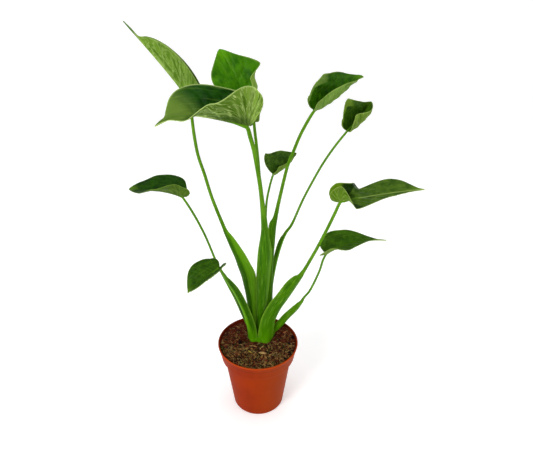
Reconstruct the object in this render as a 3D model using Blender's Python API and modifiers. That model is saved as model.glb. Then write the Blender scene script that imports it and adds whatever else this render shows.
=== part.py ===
"""A tiny dancer alocasia in its round nursery pot.

The pot is a thin moulded cup with a collar. Soil fills it almost to the lip, and a short green
crown stands in a hole in the soil. Ten leaf stalks rise from the crown, each a broad sheath
below and a thin round stalk above, and each carries one pointed, folded blade.
The origin is the middle of the pot's underside. +X is to the plant's right and -Y to its front.
"""

import bpy
import bmesh
import numpy as np
from math import cos, pi, radians, sin

MM = 0.001
GAP = 0.3                      # between pieces that touch, in mm like all the sizes below

# Pot
POT_HEIGHT = 110.0
LIP_RADIUS = 58.2
WALL = 1.3
LIP_ROUND = 0.9                # radius of the lip's rounded edge
COLLAR_TOP = 57.0              # outer radius under the lip
COLLAR_FOOT = 53.6
COLLAR_HEIGHT = 22.4
STEP_DROP = 2.0                # the ledge under the collar slopes in over this height
LEDGE_LIFT = 0.8               # how far its inner side lies above its outer one
BODY_TOP = 49.2                # outer radius under the ledge
BASE_RADIUS = 38.0
FOOT_ROUND = 1.8
FLOOR = 2.0
POT_SIDES = 48
DRAIN_COUNT = 8
DRAIN_RING = 26.0
DRAIN_RADIUS = 4.0

# Soil
SOIL_LEVEL = 106.0
SOIL_LUMP = 1.1                # height of the lumps on its surface
SOIL_RINGS = 8

# Crown
CROWN_PLACE = (4.0, 16.5)
CROWN_TOP = 112.0
CROWN_FLAT = 18.0 / 21.0       # its depth over its width
CROWN_SIDES = 24
CROWN_PROFILE = [(20.8, 112.0), (21.2, 110.8), (18.8, 105.5), (17.6, 100.0), (15.5, 94.0), (12.5, 88.5), (8.0, 84.5)]

# Stalks
STALK_RINGS = 20
STALK_SIDES = 8
STALK_CROWD = 1.2              # over 1 draws the rings together towards the sheath
CUP_DEPTH = 0.45               # how far a flat sheath bends round its neighbour, over its half width

# Blades
BLADE_ROWS = 16                # from the tip round to the notch at the stalk
BLADE_COLUMNS = 4              # from the midrib to each margin
RIB_THICKNESS = 1.8
BLADE_THICKNESS = 0.75
FAN_START = 0.62               # rows past this share of the margin spread from the stalk
ROOT_CROWD = 1.1               # over 1 draws the rows' roots together towards the stalk
THIN_REACH = 4.0               # the blade thins towards the stalk within this distance
PROBE = 0.2                    # step for the surface's slope, in mm
KNOTS = (-0.15, 0.12, 0.5, 0.95)
# The lobe behind the stalk: share of the notch angle, and reach over the half width at the stalk
LOBE = [(0.12, 0.97), (0.35, 0.88), (0.6, 0.72), (0.82, 0.52), (0.96, 0.36), (1.0, 0.24)]


def half(width, edge, fold, curl, notch, shoulder=0.95, cup=70, knots=KNOTS, level=0.0):
    """One half of a blade. edge is its outline from the tip as shares of length and width, fold the
    angle it is raised by and curl its further turn towards the margin, both at the knots along the
    midrib. notch is the angle of its lobe, shoulder its width at the stalk, cup the lobe's cone,
    and level the share of its width that stays straight before it curls."""
    curl = curl if isinstance(curl, tuple) else (curl,) * 4
    return dict(width=width, edge=edge, fold=fold, curl=curl, notch=notch, shoulder=shoulder,
                cup=cup, knots=knots, level=level)


EDGE_A = [(1, 0), (.9, .03), (.80, .06), (.75, .32), (.67, .58), (.54, .83), (.37, .98), (.22, 1), (.08, .92)]
EDGE_F = [(1, 0), (.96, .10), (.90, .22), (.80, .40), (.66, .60), (.50, .76), (.32, .88), (.18, .98), (.08, 1)]
EDGE_I = [(1, 0), (.985, .10), (.93, .32), (.82, .60), (.64, .86), (.42, 1), (.2, .97), (.08, .86)]
EDGE_J = [(1, 0), (.97, .06), (.91, .25), (.80, .55), (.64, .85), (.42, 1), (.2, .98), (.08, .88)]

# Each leaf: where blade and stalk meet, the midrib's heading from +X and rise in degrees, its bend
# and sweep over the near and far half, its roll, its length, and its two halves
LEAVES = {
    "a": dict(
        at=(-77.3, 30, 448.8), heading=176, pitch=56, bend=(-5, -2), length=110,
        left=half(23.5, EDGE_A, (60, 70, 75, 65), 12, 40, 0.8),
        right=half(23, EDGE_A, (70, 86, 86, 75), 4, 40, 0.8)),
    "b": dict(
        at=(-7.3, -35, 435.6), heading=187, pitch=20, bend=(-10, -42), length=102,
        left=half(44, [(1, 0), (.94, .04), (.88, .07), (.83, .12), (.76, .27), (.66, .50), (.5, .78),
                       (.25, .95), (.08, .95)],
                  (78, 75, 25, -5), (25, 25, 20, 0), 26, 0.86, 75, (-.15, .03, .42, .72)),
        right=half(32, [(1, 0), (.92, .07), (.87, .12), (.83, .35), (.77, .70), (.68, .93), (.52, 1),
                        (.25, 1), (.08, .97)],
                   (62, 80, 70, 50), (10, 10, 5, 10), 30, cup=75, knots=(-.15, .03, .42, .72))),
    "c": dict(
        at=(-1.9, 5, 430.2), heading=152, pitch=68.5, bend=(-6, -14), roll=-50, length=88.5,
        left=half(28, [(1, 0), (.985, .12), (.95, .26), (.87, .56), (.78, .84), (.68, .97), (.58, .98),
                       (.35, .82), (.08, .6)],
                  (60, 45, 10, 5), (20, 20, 15, 10), 20, 0.6, 80, (-.15, .20, .55, .75)),
        right=half(31.5, [(1, 0), (.985, .05), (.96, .12), (.90, .25), (.83, .42), (.78, .57),
                          (.71, .79), (.62, 1), (.48, 1.05), (.28, .85), (.08, .42)],
                   (60, 30, 5, 0), (170, 170, 150, 10), 15, 0.3, 80, (-.05, .25, .48, .66), 0.3)),
    "d": dict(
        at=(69.1, 30, 438.2), heading=34, pitch=15, bend=(18, -30), sweep=(0, 8), length=87,
        left=half(35, [(1, 0), (.97, .09), (.88, .17), (.76, .32), (.66, .50), (.52, .73), (.35, .96),
                       (.24, 1.04), (.17, 1.04), (.08, .9)],
                  (58, 66, 60, 38), (75, 65, 50, 40), 35, 0.55, 60),
        right=half(24, [(1, 0), (.97, .04), (.90, .10), (.78, .32), (.66, .60), (.52, .88), (.35, 1),
                        (.18, .97), (.08, .90)],
                   (15, -5, -10, 5), (100, 118, 115, 95), 35, 0.8, 80)),
    "e": dict(
        at=(114, 50, 408), heading=48, pitch=22, bend=(5, 8), length=60,
        left=half(34, [(1, 0), (.93, .10), (.8, .28), (.65, .52), (.5, .74), (.38, .92), (.28, 1.05),
                       (.18, 1), (.08, .8)],
                  (70, 80, 85, 80), (20, 10, 5, 5), 48, 0.52, 60),
        right=half(31, EDGE_F, (20, -5, -10, 20), (110, 125, 120, 90), 30, 0.8, 80)),
    "f": dict(
        at=(21.2, 60, 346.2), heading=43, pitch=12, bend=(12, 12), length=49,
        left=half(31, [(1, 0), (.96, .10), (.90, .22), (.80, .40), (.66, .60), (.50, .73), (.32, .82),
                       (.18, .87), (.06, .93)],
                  (50, 62, 60, 50), 35, 20, 0.98),
        right=half(16, EDGE_F, (5, 5, 5, 20), 90, 45, 0.8, 80)),
    "g": dict(
        at=(100.3, -20, 341.4), heading=2, pitch=12, bend=(-4, -2), length=101,
        left=half(24.5, [(1, 0), (.95, .07), (.92, .16), (.86, .42), (.76, .80), (.62, 1), (.45, 1),
                         (.32, .90), (.22, .77), (.12, .84), (.05, .92)],
                  (80, 80, 5, 22), (10, 10, 5, 0), 70, cup=88, knots=(-.1, .15, .28, .68)),
        right=half(23.5, [(1, 0), (.95, .04), (.85, .14), (.70, .34), (.50, .60), (.32, .86), (.2, 1),
                          (.12, 1), (.05, .98)],
                   (70, 68, -8, 5), (15, 15, 5, 0), 75, cup=88, knots=(-.1, .02, .155, .6))),
    "h": dict(
        at=(90.3, 0, 257.1), heading=4, pitch=36, bend=(-24, -20), length=84,
        left=half(25, [(1, 0), (.92, .02), (.84, .06), (.74, .28), (.58, .65), (.40, .92), (.22, 1),
                       (.08, .85)],
                  (50, 40, 22, 5), 10, 10, 0.6, 80, (-.1, .1, .38, .8)),
        right=half(23, [(1, 0), (.92, .02), (.80, .05), (.66, .22), (.50, .58), (.36, .88), (.2, 1),
                        (.08, .9)],
                   (42, 34, 4, 0), 10, 50, 0.75, 50, (-.1, .1, .38, .8))),
    "i": dict(
        at=(-90.6, 0, 338.6), heading=180, pitch=27, bend=(-22, -4), length=67,
        left=half(22, EDGE_I, (60, 55, 20, 0), 10, 40, 0.85, knots=(-.1, .1, .5, .8)),
        right=half(24, EDGE_I, (60, 45, 28, 15), 10, 30, 0.5, knots=(-.1, .1, .5, .8))),
    "j": dict(
        at=(-45.1, -50, 266.7), heading=215, pitch=-18, bend=(-4, -8), length=48,
        left=half(25, EDGE_J, (40, 30, 30, 25), 5, 78, 0.68),
        right=half(25, EDGE_J, (15, 15, 20, 10), 5, 40, 0.75)),
}

# Each stalk: the way its sheath's back faces, the sheath's thickness, how far it stops short of its
# blade's lowest point, and its route from the crown as points with the width there
STALKS = {
    "a": dict(facing=242, sheath=4.0, seat=1.0, route=[
        (-7.6, 18.7, 112.3, 9.5), (-8.8, 17.8, 143, 11.5), (-10.8, 17, 176, 16.5), (-13, 17, 195, 20),
        (-15.6, 17, 213, 24), (-20.6, 17.5, 228, 22.5), (-25.6, 18, 243, 19.5), (-33.8, 19, 261.5, 14.6),
        (-40.9, 20, 278, 8.7), (-45.3, 20.5, 290, 5.6),
        (-57.7, 22, 328, 4.4), (-65.5, 24, 359, 4.2), (-72.2, 26, 383, 4.1), (-75.6, 28, 408, 4),
        (-77.2, 29.5, 432, 3.8)]),
    "b": dict(facing=271, sheath=4.6, seat=1.1, route=[
        (2.4, 16.6, 112.3, 8), (3.6, 14.2, 138, 10.5), (5.8, 11, 175, 15), (8.2, 8, 219, 18.5),
        (9.9, 5, 246, 19.4), (10.5, 3, 262, 17.6), (10.3, -1, 290, 10), (9.4, -5, 316, 6.5),
        (7, -9, 338.5, 5.4),
        (4.8, -13, 360, 5.2), (2.1, -18, 381, 5), (-1.5, -25, 406, 4.9), (-5, -31, 422, 4.9)]),
    "c": dict(facing=90, sheath=4.0, seat=1.0, route=[
        (1.5, 24, 112.3, 8), (3.8, 24, 166, 8), (6.2, 22, 218, 7), (8, 19, 268, 5.5), (7, 15, 307, 4.2),
        (4.3, 12, 350, 4), (2.2, 10, 383, 3.8), (0.5, 8, 403, 3.7), (-1.2, 6, 420, 3.6)]),
    "d": dict(facing=285, sheath=4.0, seat=1.2, route=[
        (11, 18.3, 112.3, 8), (15.4, 18, 152, 8), (16.8, 18, 187, 8.5), (17.8, 19, 220, 8.5),
        (19.2, 20, 252, 8.5), (20.4, 21, 279, 10), (21.6, 21.3, 290, 9.6), (24.8, 22, 303, 6.2),
        (29, 23, 324.5, 4.8),
        (38.4, 25, 368, 4.1), (46, 26, 389, 4), (53.3, 27, 408, 3.9), (62, 29, 425, 3.8)]),
    "e": dict(facing=-40, sheath=3.7, seat=1.1, route=[
        (14.5, 25, 112.3, 7.5), (18.4, 26, 146, 7.5), (18.6, 27.5, 186, 8.5), (23.6, 29, 222, 9.5),
        (30.6, 31, 252, 10), (38, 32, 271.5, 7), (47, 33, 285, 3.7), (60.2, 36, 318, 3.1),
        (72.7, 39, 344, 3), (85, 42, 367, 3), (99, 46, 388, 3)]),
    "f": dict(facing=90, sheath=3.8, seat=1.8, route=[
        (5, 31, 112.3, 8), (8, 32.5, 177, 7), (9.7, 36, 234.5, 5), (11, 40, 275, 3.4),
        (12.4, 46, 308.5, 3.1), (16.3, 53, 329, 3)]),
    "g": dict(facing=280, sheath=4.6, seat=1.2, route=[
        (11.4, 5, 112.3, 21), (15.4, 5.6, 140, 20), (23, 6, 161, 19), (33, 3.5, 180.5, 17.5),
        (46.3, 0, 205.5, 14.8), (56.3, -2.5, 222, 9), (62.8, -4.5, 235, 5), (69.4, -6.5, 251, 4.4),
        (77, -8.5, 269.5, 4.1), (87.7, -13, 299.5, 4), (95.2, -17, 323, 3.9)]),
    "h": dict(facing=285, sheath=4.2, seat=1.2, route=[
        (21.5, 17.5, 112.3, 8), (32.6, 16, 128, 11), (41.8, 13.8, 143, 11), (52.9, 11.2, 158.5, 9),
        (61.2, 9, 172, 5.5), (65.3, 8, 181.5, 3.4), (73.6, 6, 196.5, 3.1), (83.5, 3, 227, 3),
        (87.4, 1, 246.5, 3)]),
    "i": dict(facing=165, sheath=3.7, seat=1.0, route=[
        (-12.5, 27, 112.3, 7.5), (-20, 27, 131.5, 7.5), (-31, 23, 166.5, 6), (-41.5, 20, 194.5, 4.4),
        (-55.4, 15, 234, 3.2), (-66, 9, 274, 3), (-74.4, 5, 300, 3), (-83, 2, 321.5, 3)]),
    "j": dict(facing=245, sheath=4.2, seat=1.6, route=[
        (-8.4, 6.5, 112.3, 13.5), (-10.9, 5.5, 132.5, 13.5), (-17.8, 0, 166, 12), (-28.2, -13, 205.5, 11.6),
        (-36.8, -24, 230.5, 9), (-41.6, -36, 248.5, 4.2)]),
}

# Colour, roughness
LOOKS = {
    "pot": ((0.36, 0.05, 0.012), 0.45),
    "soil": ((0.06, 0.025, 0.012), 0.95),
    "crown": ((0.10, 0.24, 0.02), 0.5),
    "stalk": ((0.13, 0.29, 0.02), 0.45),
    "blade": ((0.03, 0.11, 0.015), 0.4),
}


def clear_scene():
    """Remove what a new file holds."""
    for thing in list(bpy.data.objects):
        bpy.data.objects.remove(thing, do_unlink=True)


def make_collection(name):
    group = bpy.data.collections.new(name)
    bpy.context.scene.collection.children.link(group)
    return group


def make_material(name, look):
    colour, roughness = LOOKS[look]
    material = bpy.data.materials.new(name)
    material.use_nodes = True
    shader = material.node_tree.nodes["Principled BSDF"]
    shader.inputs["Base Color"].default_value = (*colour, 1.0)
    shader.inputs["Roughness"].default_value = roughness
    shader.inputs["Metallic"].default_value = 0.0
    return material


def add_object(group, name, mesh, look):
    thing = bpy.data.objects.new(name, mesh)
    group.objects.link(thing)
    mesh.materials.append(make_material(name, look))
    return thing


def mesh_from(bm, name):
    mesh = bpy.data.meshes.new(name)
    bm.to_mesh(mesh)
    bm.free()
    return mesh


def turned(name, profile, sides):
    """A mesh turned round Z from a profile of (radius, height) in mm, with its ends on the axis."""
    mesh = bpy.data.meshes.new(name)
    points = [(radius * MM, 0.0, height * MM) for radius, height in profile]
    mesh.from_pydata(points, [(i, i + 1) for i in range(len(points) - 1)], [])
    spun = bpy.data.objects.new(name + "_profile", mesh)
    bpy.context.scene.collection.objects.link(spun)
    screw = spun.modifiers.new("Turn", "SCREW")
    screw.axis = "Z"
    screw.angle = 2 * pi
    screw.steps = sides
    screw.render_steps = sides
    screw.use_merge_vertices = True
    screw.merge_threshold = 0.00001
    screw.use_smooth_shade = True
    result = bpy.data.meshes.new_from_object(spun.evaluated_get(bpy.context.evaluated_depsgraph_get()))
    result.name = name
    bpy.data.objects.remove(spun, do_unlink=True)
    return result


def subtract(thing, cutter):
    """Cut one object out of another, which keeps the cut as its mesh."""
    cut = thing.modifiers.new("Cut", "BOOLEAN")
    cut.operation = "DIFFERENCE"
    cut.solver = "EXACT"
    cut.object = cutter


def inner_radius(height):
    """The pot's inside radius at a height."""
    ledge = POT_HEIGHT - COLLAR_HEIGHT
    if height > ledge:
        share = (height - ledge) / COLLAR_HEIGHT
        return COLLAR_FOOT + (COLLAR_TOP - COLLAR_FOOT) * share - WALL
    share = (height - FLOOR) / (ledge - STEP_DROP - FLOOR)
    return BASE_RADIUS + (BODY_TOP - BASE_RADIUS) * share - WALL


def pot_profile():
    """From the floor's middle up the inside, over the round lip and down the outside."""
    ledge = POT_HEIGHT - COLLAR_HEIGHT
    round_middle = (LIP_RADIUS - LIP_ROUND, POT_HEIGHT - LIP_ROUND)
    lip = [(round_middle[0] + LIP_ROUND * cos(a), round_middle[1] + LIP_ROUND * sin(a))
           for a in np.radians((135, 90, 45, 0, -45))]
    foot_top = FOOT_ROUND * 0.9
    return ([(0, FLOOR), (BASE_RADIUS - WALL, FLOOR), (BODY_TOP - WALL, ledge - STEP_DROP + LEDGE_LIFT),
             (COLLAR_FOOT - WALL, ledge + LEDGE_LIFT), (COLLAR_TOP - WALL, POT_HEIGHT - 2.2)]
            + lip
            + [(COLLAR_TOP, POT_HEIGHT - 2.6), (COLLAR_FOOT, ledge), (COLLAR_FOOT - 0.7, ledge - 0.5),
               (BODY_TOP, ledge - STEP_DROP), (BASE_RADIUS, foot_top), (BASE_RADIUS - 0.6, 0.4),
               (BASE_RADIUS - FOOT_ROUND, 0), (0, 0)])


def make_pot(parts, cutters):
    pot = add_object(parts, "pot", turned("pot", pot_profile(), POT_SIDES), "pot")
    bm = bmesh.new()
    for i in range(DRAIN_COUNT):
        turn = 2 * pi * (i + 0.5) / DRAIN_COUNT
        made = bmesh.ops.create_cone(bm, cap_ends=True, segments=12, radius1=DRAIN_RADIUS * MM,
                                     radius2=DRAIN_RADIUS * MM, depth=4 * FLOOR * MM)
        bmesh.ops.translate(bm, verts=made["verts"],
                            vec=(DRAIN_RING * MM * cos(turn), DRAIN_RING * MM * sin(turn), 0))
    drains = bpy.data.objects.new("drain_cutter", mesh_from(bm, "drain_cutter"))
    cutters.objects.link(drains)
    subtract(pot, drains)
    return pot


def soil_lump(x, y):
    """Height of the soil above its mean level, in shares of SOIL_LUMP."""
    return (sin(0.19 * x + 1.3) * cos(0.23 * y - 0.4) + 0.6 * sin(0.41 * x - 0.37 * y + 2.0)) / 1.6


def make_soil(parts, cutters):
    """The pot's inside filled up, with a lumpy top and a plain hole for the crown."""
    bottom = FLOOR + GAP
    ledge = POT_HEIGHT - COLLAR_HEIGHT
    side = [(inner_radius(bottom) - GAP, bottom),
            (BODY_TOP - WALL - GAP, ledge - STEP_DROP + LEDGE_LIFT + GAP),
            (COLLAR_FOOT - WALL - GAP, ledge + LEDGE_LIFT + GAP),
            (inner_radius(SOIL_LEVEL) - GAP, SOIL_LEVEL)]
    rim = side[-1][0]
    top = [(rim * (SOIL_RINGS - i) / SOIL_RINGS, SOIL_LEVEL) for i in range(1, SOIL_RINGS + 1)]
    profile = [(0, bottom)] + side + top
    mesh = turned("soil", profile[::-1], POT_SIDES)
    for v in mesh.vertices:
        reach = (v.co.x ** 2 + v.co.y ** 2) ** 0.5 / MM
        if v.co.z > (SOIL_LEVEL - 0.1) * MM:
            calm = 1 - (reach / rim) ** 4 * 0.6
            v.co.z += SOIL_LUMP * calm * soil_lump(v.co.x / MM, v.co.y / MM) * MM
    soil = add_object(parts, "soil", mesh, "soil")
    hole = bpy.data.objects.new("crown_hole_cutter", crown_mesh("crown_hole_cutter", GAP))
    hole.location = (CROWN_PLACE[0] * MM, CROWN_PLACE[1] * MM, 0)
    cutters.objects.link(hole)
    subtract(soil, hole)
    return soil


def crown_mesh(name, grow):
    """The crown's turned form, flattened front to back, and grown by a gap for its hole."""
    rings = [(radius + grow * 1.5, height) for radius, height in CROWN_PROFILE]
    lowest = CROWN_PROFILE[-1][1] - grow
    rings[-1] = (rings[-1][0], lowest)
    mesh = turned(name, [(0, CROWN_TOP)] + rings + [(0, lowest)], CROWN_SIDES)
    for v in mesh.vertices:
        v.co.y *= CROWN_FLAT
    return mesh


def make_crown(parts):
    crown = add_object(parts, "crown", crown_mesh("crown", 0.0), "crown")
    crown.location = (CROWN_PLACE[0] * MM, CROWN_PLACE[1] * MM, 0)
    return crown


def smooth_curve(points, count, crowd=1.0):
    """Points spaced along a smooth curve through the given ones, more closely at its start if
    crowd is over 1. Only the first three numbers of a point, or its first two, are distances."""
    points = np.array(points, float)
    axes = min(3, points.shape[1])
    ends = np.vstack([2 * points[0] - points[1], points, 2 * points[-1] - points[-2]])
    t = np.linspace(0, 1, 20, endpoint=False)[:, None]
    fine = []
    for a, b, c, d in zip(ends, ends[1:], ends[2:], ends[3:]):
        fine.append(0.5 * (2 * b + (c - a) * t + (2 * a - 5 * b + 4 * c - d) * t ** 2
                           + (3 * b - a - 3 * c + d) * t ** 3))
    fine = np.vstack(fine + [points[-1:]])
    run = np.r_[0, np.cumsum(np.linalg.norm(np.diff(fine[:, :axes], axis=0), axis=1))]
    stops = np.linspace(0, 1, count) ** crowd * run[-1]
    return np.stack([np.interp(stops, run, fine[:, k]) for k in range(fine.shape[1])], 1)


def unit(vectors):
    return vectors / np.maximum(np.linalg.norm(vectors, axis=-1, keepdims=True), 1e-12)


def stalk_rings(stalk, place):
    """Cross sections up a stalk to its blade's place: flat and bent round its neighbours at the sheath, round above."""
    last = np.array(stalk["route"][-1], float)
    way = np.array(place) - last[:3]
    tip = np.array(place) - unit(way) * stalk["seat"]
    line = smooth_curve(stalk["route"] + [(*tip, last[3])], STALK_RINGS, STALK_CROWD)
    ahead = unit(np.gradient(line[:, :3], axis=0))
    ahead[0] = (0, 0, 1)
    ahead[1] = unit(ahead[1] + ahead[0] * 0.5)
    face = radians(stalk["facing"])
    outward = np.array((cos(face), sin(face), 0.0))
    around = 2 * pi * np.arange(STALK_SIDES) / STALK_SIDES
    rings = []
    for centre, along, width in zip(line[:, :3], ahead, line[:, 3]):
        back = unit(outward - along * (outward @ along))
        side = np.cross(along, back)
        thick = min(width, stalk["sheath"])
        bend = CUP_DEPTH * (1 - thick / width) * width / 2
        x, y = np.cos(around), np.sin(around)
        y = y * thick / 2 + bend * (0.8 - 2 * x * x)
        rings.append(centre + side * (x * width / 2)[:, None] + back * y[:, None])
    return rings


def make_stalk(parts, letter):
    """A loft through the rings with both ends closed."""
    rings = stalk_rings(STALKS[letter], LEAVES[letter]["at"])
    bm = bmesh.new()
    loops = [[bm.verts.new(point * MM) for point in ring] for ring in rings]
    for low, high in zip(loops, loops[1:]):
        for i in range(STALK_SIDES):
            j = (i + 1) % STALK_SIDES
            bm.faces.new((low[i], low[j], high[j], high[i]))
    bm.faces.new(loops[0][::-1])
    bm.faces.new(loops[-1])
    bmesh.ops.recalc_face_normals(bm, faces=bm.faces)
    mesh = mesh_from(bm, "stalk_" + letter)
    mesh.shade_smooth()
    mesh.set_sharp_from_angle(angle=radians(50))
    return add_object(parts, "stalk_" + letter, mesh, "stalk")


def along_midrib(values, knots, share):
    """A value that turns smoothly from each knot's to the next one's."""
    out = np.full(share.shape, float(values[0]))
    for low, high, start, end in zip(values, values[1:], knots, knots[1:]):
        x = np.clip((share - start) / (end - start), 0, 1)
        out = out + (high - low) * x * x * (3 - 2 * x)
    return out


def midrib(leaf):
    """Shares along the midrib, its points from the stalk, and its axes ahead, left and up."""
    share = np.linspace(0, 1, 101)
    near, far = np.minimum(share, 0.5) / 0.5, np.maximum(share - 0.5, 0) / 0.5
    bend, sweep = leaf.get("bend", (0, 0)), leaf.get("sweep", (0, 0))
    rise = np.radians(leaf["pitch"] + bend[0] * near + bend[1] * far)
    turn = np.radians(leaf["heading"] + sweep[0] * near + sweep[1] * far)
    roll = radians(leaf.get("roll", 0))
    ahead = np.stack([np.cos(turn) * np.cos(rise), np.sin(turn) * np.cos(rise), np.sin(rise)], -1)
    level = np.stack([-np.sin(turn), np.cos(turn), 0 * turn], -1)
    upright = np.cross(ahead, level)
    left = level * cos(roll) + upright * sin(roll)
    up = upright * cos(roll) - level * sin(roll)
    steps = 0.5 * (ahead[1:] + ahead[:-1]) * leaf["length"] / 100
    points = np.vstack([np.zeros(3), np.cumsum(steps, axis=0)])
    return share, points, ahead, left, up


def margin(leaf, side):
    """A half's outline, from the tip round its lobe to the notch, as (ahead, aside) of the stalk."""
    width = side["width"]
    points = [(x * leaf["length"], y * width) for x, y in side["edge"]]
    reach = side["shoulder"] * width
    points.append((0.0, reach))
    for turn, share in LOBE:
        angle = radians(turn * side["notch"])
        points.append((-reach * share * sin(angle), reach * share * cos(angle)))
    return smooth_curve(points, 81)


def spread(leaf, side, across, round_):
    """Where a grid point lies on the flat half: across from the midrib to the margin, round_ from
    the tip to the notch. The answer is in mm ahead of the stalk and aside of the midrib."""
    edge = margin(leaf, side)
    stops = np.linspace(0, 1, len(edge))
    root = leaf["length"] * np.clip(1 - round_ / FAN_START, 0, 1) ** ROOT_CROWD
    ahead_mm = root * (1 - across) + np.interp(round_, stops, edge[:, 0]) * across
    return ahead_mm, np.interp(round_, stops, edge[:, 1]) * across


def raised(leaf, side, sign, ahead_mm, aside_mm):
    """The flat half's points raised into the leaf's folded, curled and bent form."""
    reach = np.where(ahead_mm < 0, np.hypot(ahead_mm, aside_mm), aside_mm)
    behind = np.where(ahead_mm < 0, np.arctan2(-ahead_mm, np.maximum(aside_mm, 1e-9)), 0.0)
    share = np.maximum(ahead_mm, 0) / leaf["length"]
    fold = np.radians(along_midrib(side["fold"], side["knots"], share))
    straight = side["level"] * side["width"]
    turn = np.radians(along_midrib(side["curl"], side["knots"], share)) / (side["width"] - straight)
    turn = np.where(np.abs(turn) < 1e-6, 1e-6, turn)
    first, rest = np.minimum(reach, straight), np.maximum(reach - straight, 0)
    out = first * np.cos(fold) + (np.sin(fold + turn * rest) - np.sin(fold)) / turn
    lift = first * np.sin(fold) + (np.cos(fold) - np.cos(fold + turn * rest)) / turn
    stations, spine, ahead, left, up = midrib(leaf)

    def at(values):
        return np.stack([np.interp(share, stations, values[:, k]) for k in range(3)], -1)

    offset = sign * at(left) * out[:, None] + at(up) * lift[:, None]
    # The lobe turns the half's section at the stalk back round it as part of a cone
    cup = radians(side["cup"])
    level = unit(offset)
    axis = level * cos(cup) + unit(np.cross(at(ahead), level) * sign) * sin(cup)
    swing = (behind / sin(cup))[:, None]
    ray = axis * cos(cup) + (level - axis * cos(cup)) * np.cos(swing) - at(ahead) * sin(cup) * np.sin(swing)
    lobe = np.linalg.norm(offset, axis=1, keepdims=True) * ray
    return np.array(leaf["at"]) + np.where((ahead_mm < 0)[:, None], lobe, at(spine) + offset)


def blade_shape(leaf, across, round_):
    """A blade's upper points, and how far its underside lies from each. across runs from -1 at the
    right margin to 1 at the left one, round_ from 0 at the tip to 1 at the notch."""
    points, below = [], []
    for name, sign in (("left", 1), ("right", -1)):
        side = leaf[name]
        u, v = spread(leaf, side, np.abs(across), round_)
        points.append(raised(leaf, side, sign, u, v))
        near = np.maximum(v - PROBE, 0.001)
        aside = raised(leaf, side, sign, u, near + 2 * PROBE) - raised(leaf, side, sign, u, near)
        along = raised(leaf, side, sign, u + PROBE, v + 0.001) - raised(leaf, side, sign, u - PROBE, v + 0.001)
        thick = BLADE_THICKNESS * np.clip(np.hypot(u, v) / THIN_REACH, 0.5, 1)
        below.append(sign * unit(np.cross(aside, along)) * thick[:, None])
    is_left = (across > 0)[:, None]
    points, below = np.where(is_left, *points), np.where(is_left, *below)
    # Along the midrib, at the stalk and at the tip both halves meet, and the rib stands straight down
    run = np.clip(1 - round_ / FAN_START, 0, 1)
    stations, _, _, _, up = midrib(leaf)
    down = -np.stack([np.interp(run ** ROOT_CROWD, stations, up[:, k]) for k in range(3)], -1)
    swell = np.clip(np.minimum(run * 8, (1 - run) * 6), 0, 1)
    rib = down * (BLADE_THICKNESS + (RIB_THICKNESS - BLADE_THICKNESS) * swell)[:, None]
    shared = (np.abs(across) < 0.01) | (round_ < 0.01)
    return points, np.where(shared[:, None], rib, below)


def make_blade(parts, letter):
    """A grid laid over the leaf's two halves and drawn out downwards to the blade's thickness."""
    bm = bmesh.new()
    bmesh.ops.create_grid(bm, x_segments=2 * BLADE_COLUMNS, y_segments=BLADE_ROWS, size=1.0)
    flat = np.array([v.co for v in bm.verts])
    points, below = blade_shape(LEAVES[letter], flat[:, 0], (flat[:, 1] + 1) / 2)
    drop = bm.verts.layers.float_vector.new("drop")
    for v, point, depth in zip(bm.verts, points, below):
        v.co = point * MM
        v[drop] = depth * MM
    bmesh.ops.remove_doubles(bm, verts=bm.verts, dist=0.00001)
    bmesh.ops.triangulate(bm, faces=bm.faces, quad_method="SHORT_EDGE")
    drawn = bmesh.ops.extrude_face_region(bm, geom=bm.faces[:], use_keep_orig=True)
    for v in drawn["geom"]:
        if isinstance(v, bmesh.types.BMVert):
            v.co += v[drop]
    bmesh.ops.triangulate(bm, faces=bm.faces, quad_method="SHORT_EDGE")
    bmesh.ops.recalc_face_normals(bm, faces=bm.faces)
    mesh = mesh_from(bm, "blade_" + letter)
    mesh.shade_smooth()
    mesh.set_sharp_from_angle(angle=radians(50))
    return add_object(parts, "blade_" + letter, mesh, "blade")


def main():
    clear_scene()
    parts = make_collection("tiny_dancer_alocasia")
    cutters = make_collection("cutters")
    make_pot(parts, cutters)
    make_soil(parts, cutters)
    make_crown(parts)
    for letter in STALKS:
        make_stalk(parts, letter)
    for letter in LEAVES:
        make_blade(parts, letter)
    for cutter in cutters.objects:
        cutter.hide_render = True
        cutter.display_type = "WIRE"


main()
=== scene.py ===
# %% [markdown]
# # A small alocasia with cupped leaves, in its nursery pot
#
# The plant is ten leaves on thin stalks. Each stalk begins as a broad, flat sheath, and the sheaths wrap
# round one another at the soil, like sticks of celery. Each blade is folded up along its midrib like a
# hand that holds water. The frame already has every solid in its place, so this lesson only gives each a
# finer skin and a finish.

# %% Load the frame
from functools import partial
from math import cos, pi, radians, sin, tau

import bmesh
import bpy
import numpy as np
from mathutils import Matrix, Vector, noise


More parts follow.
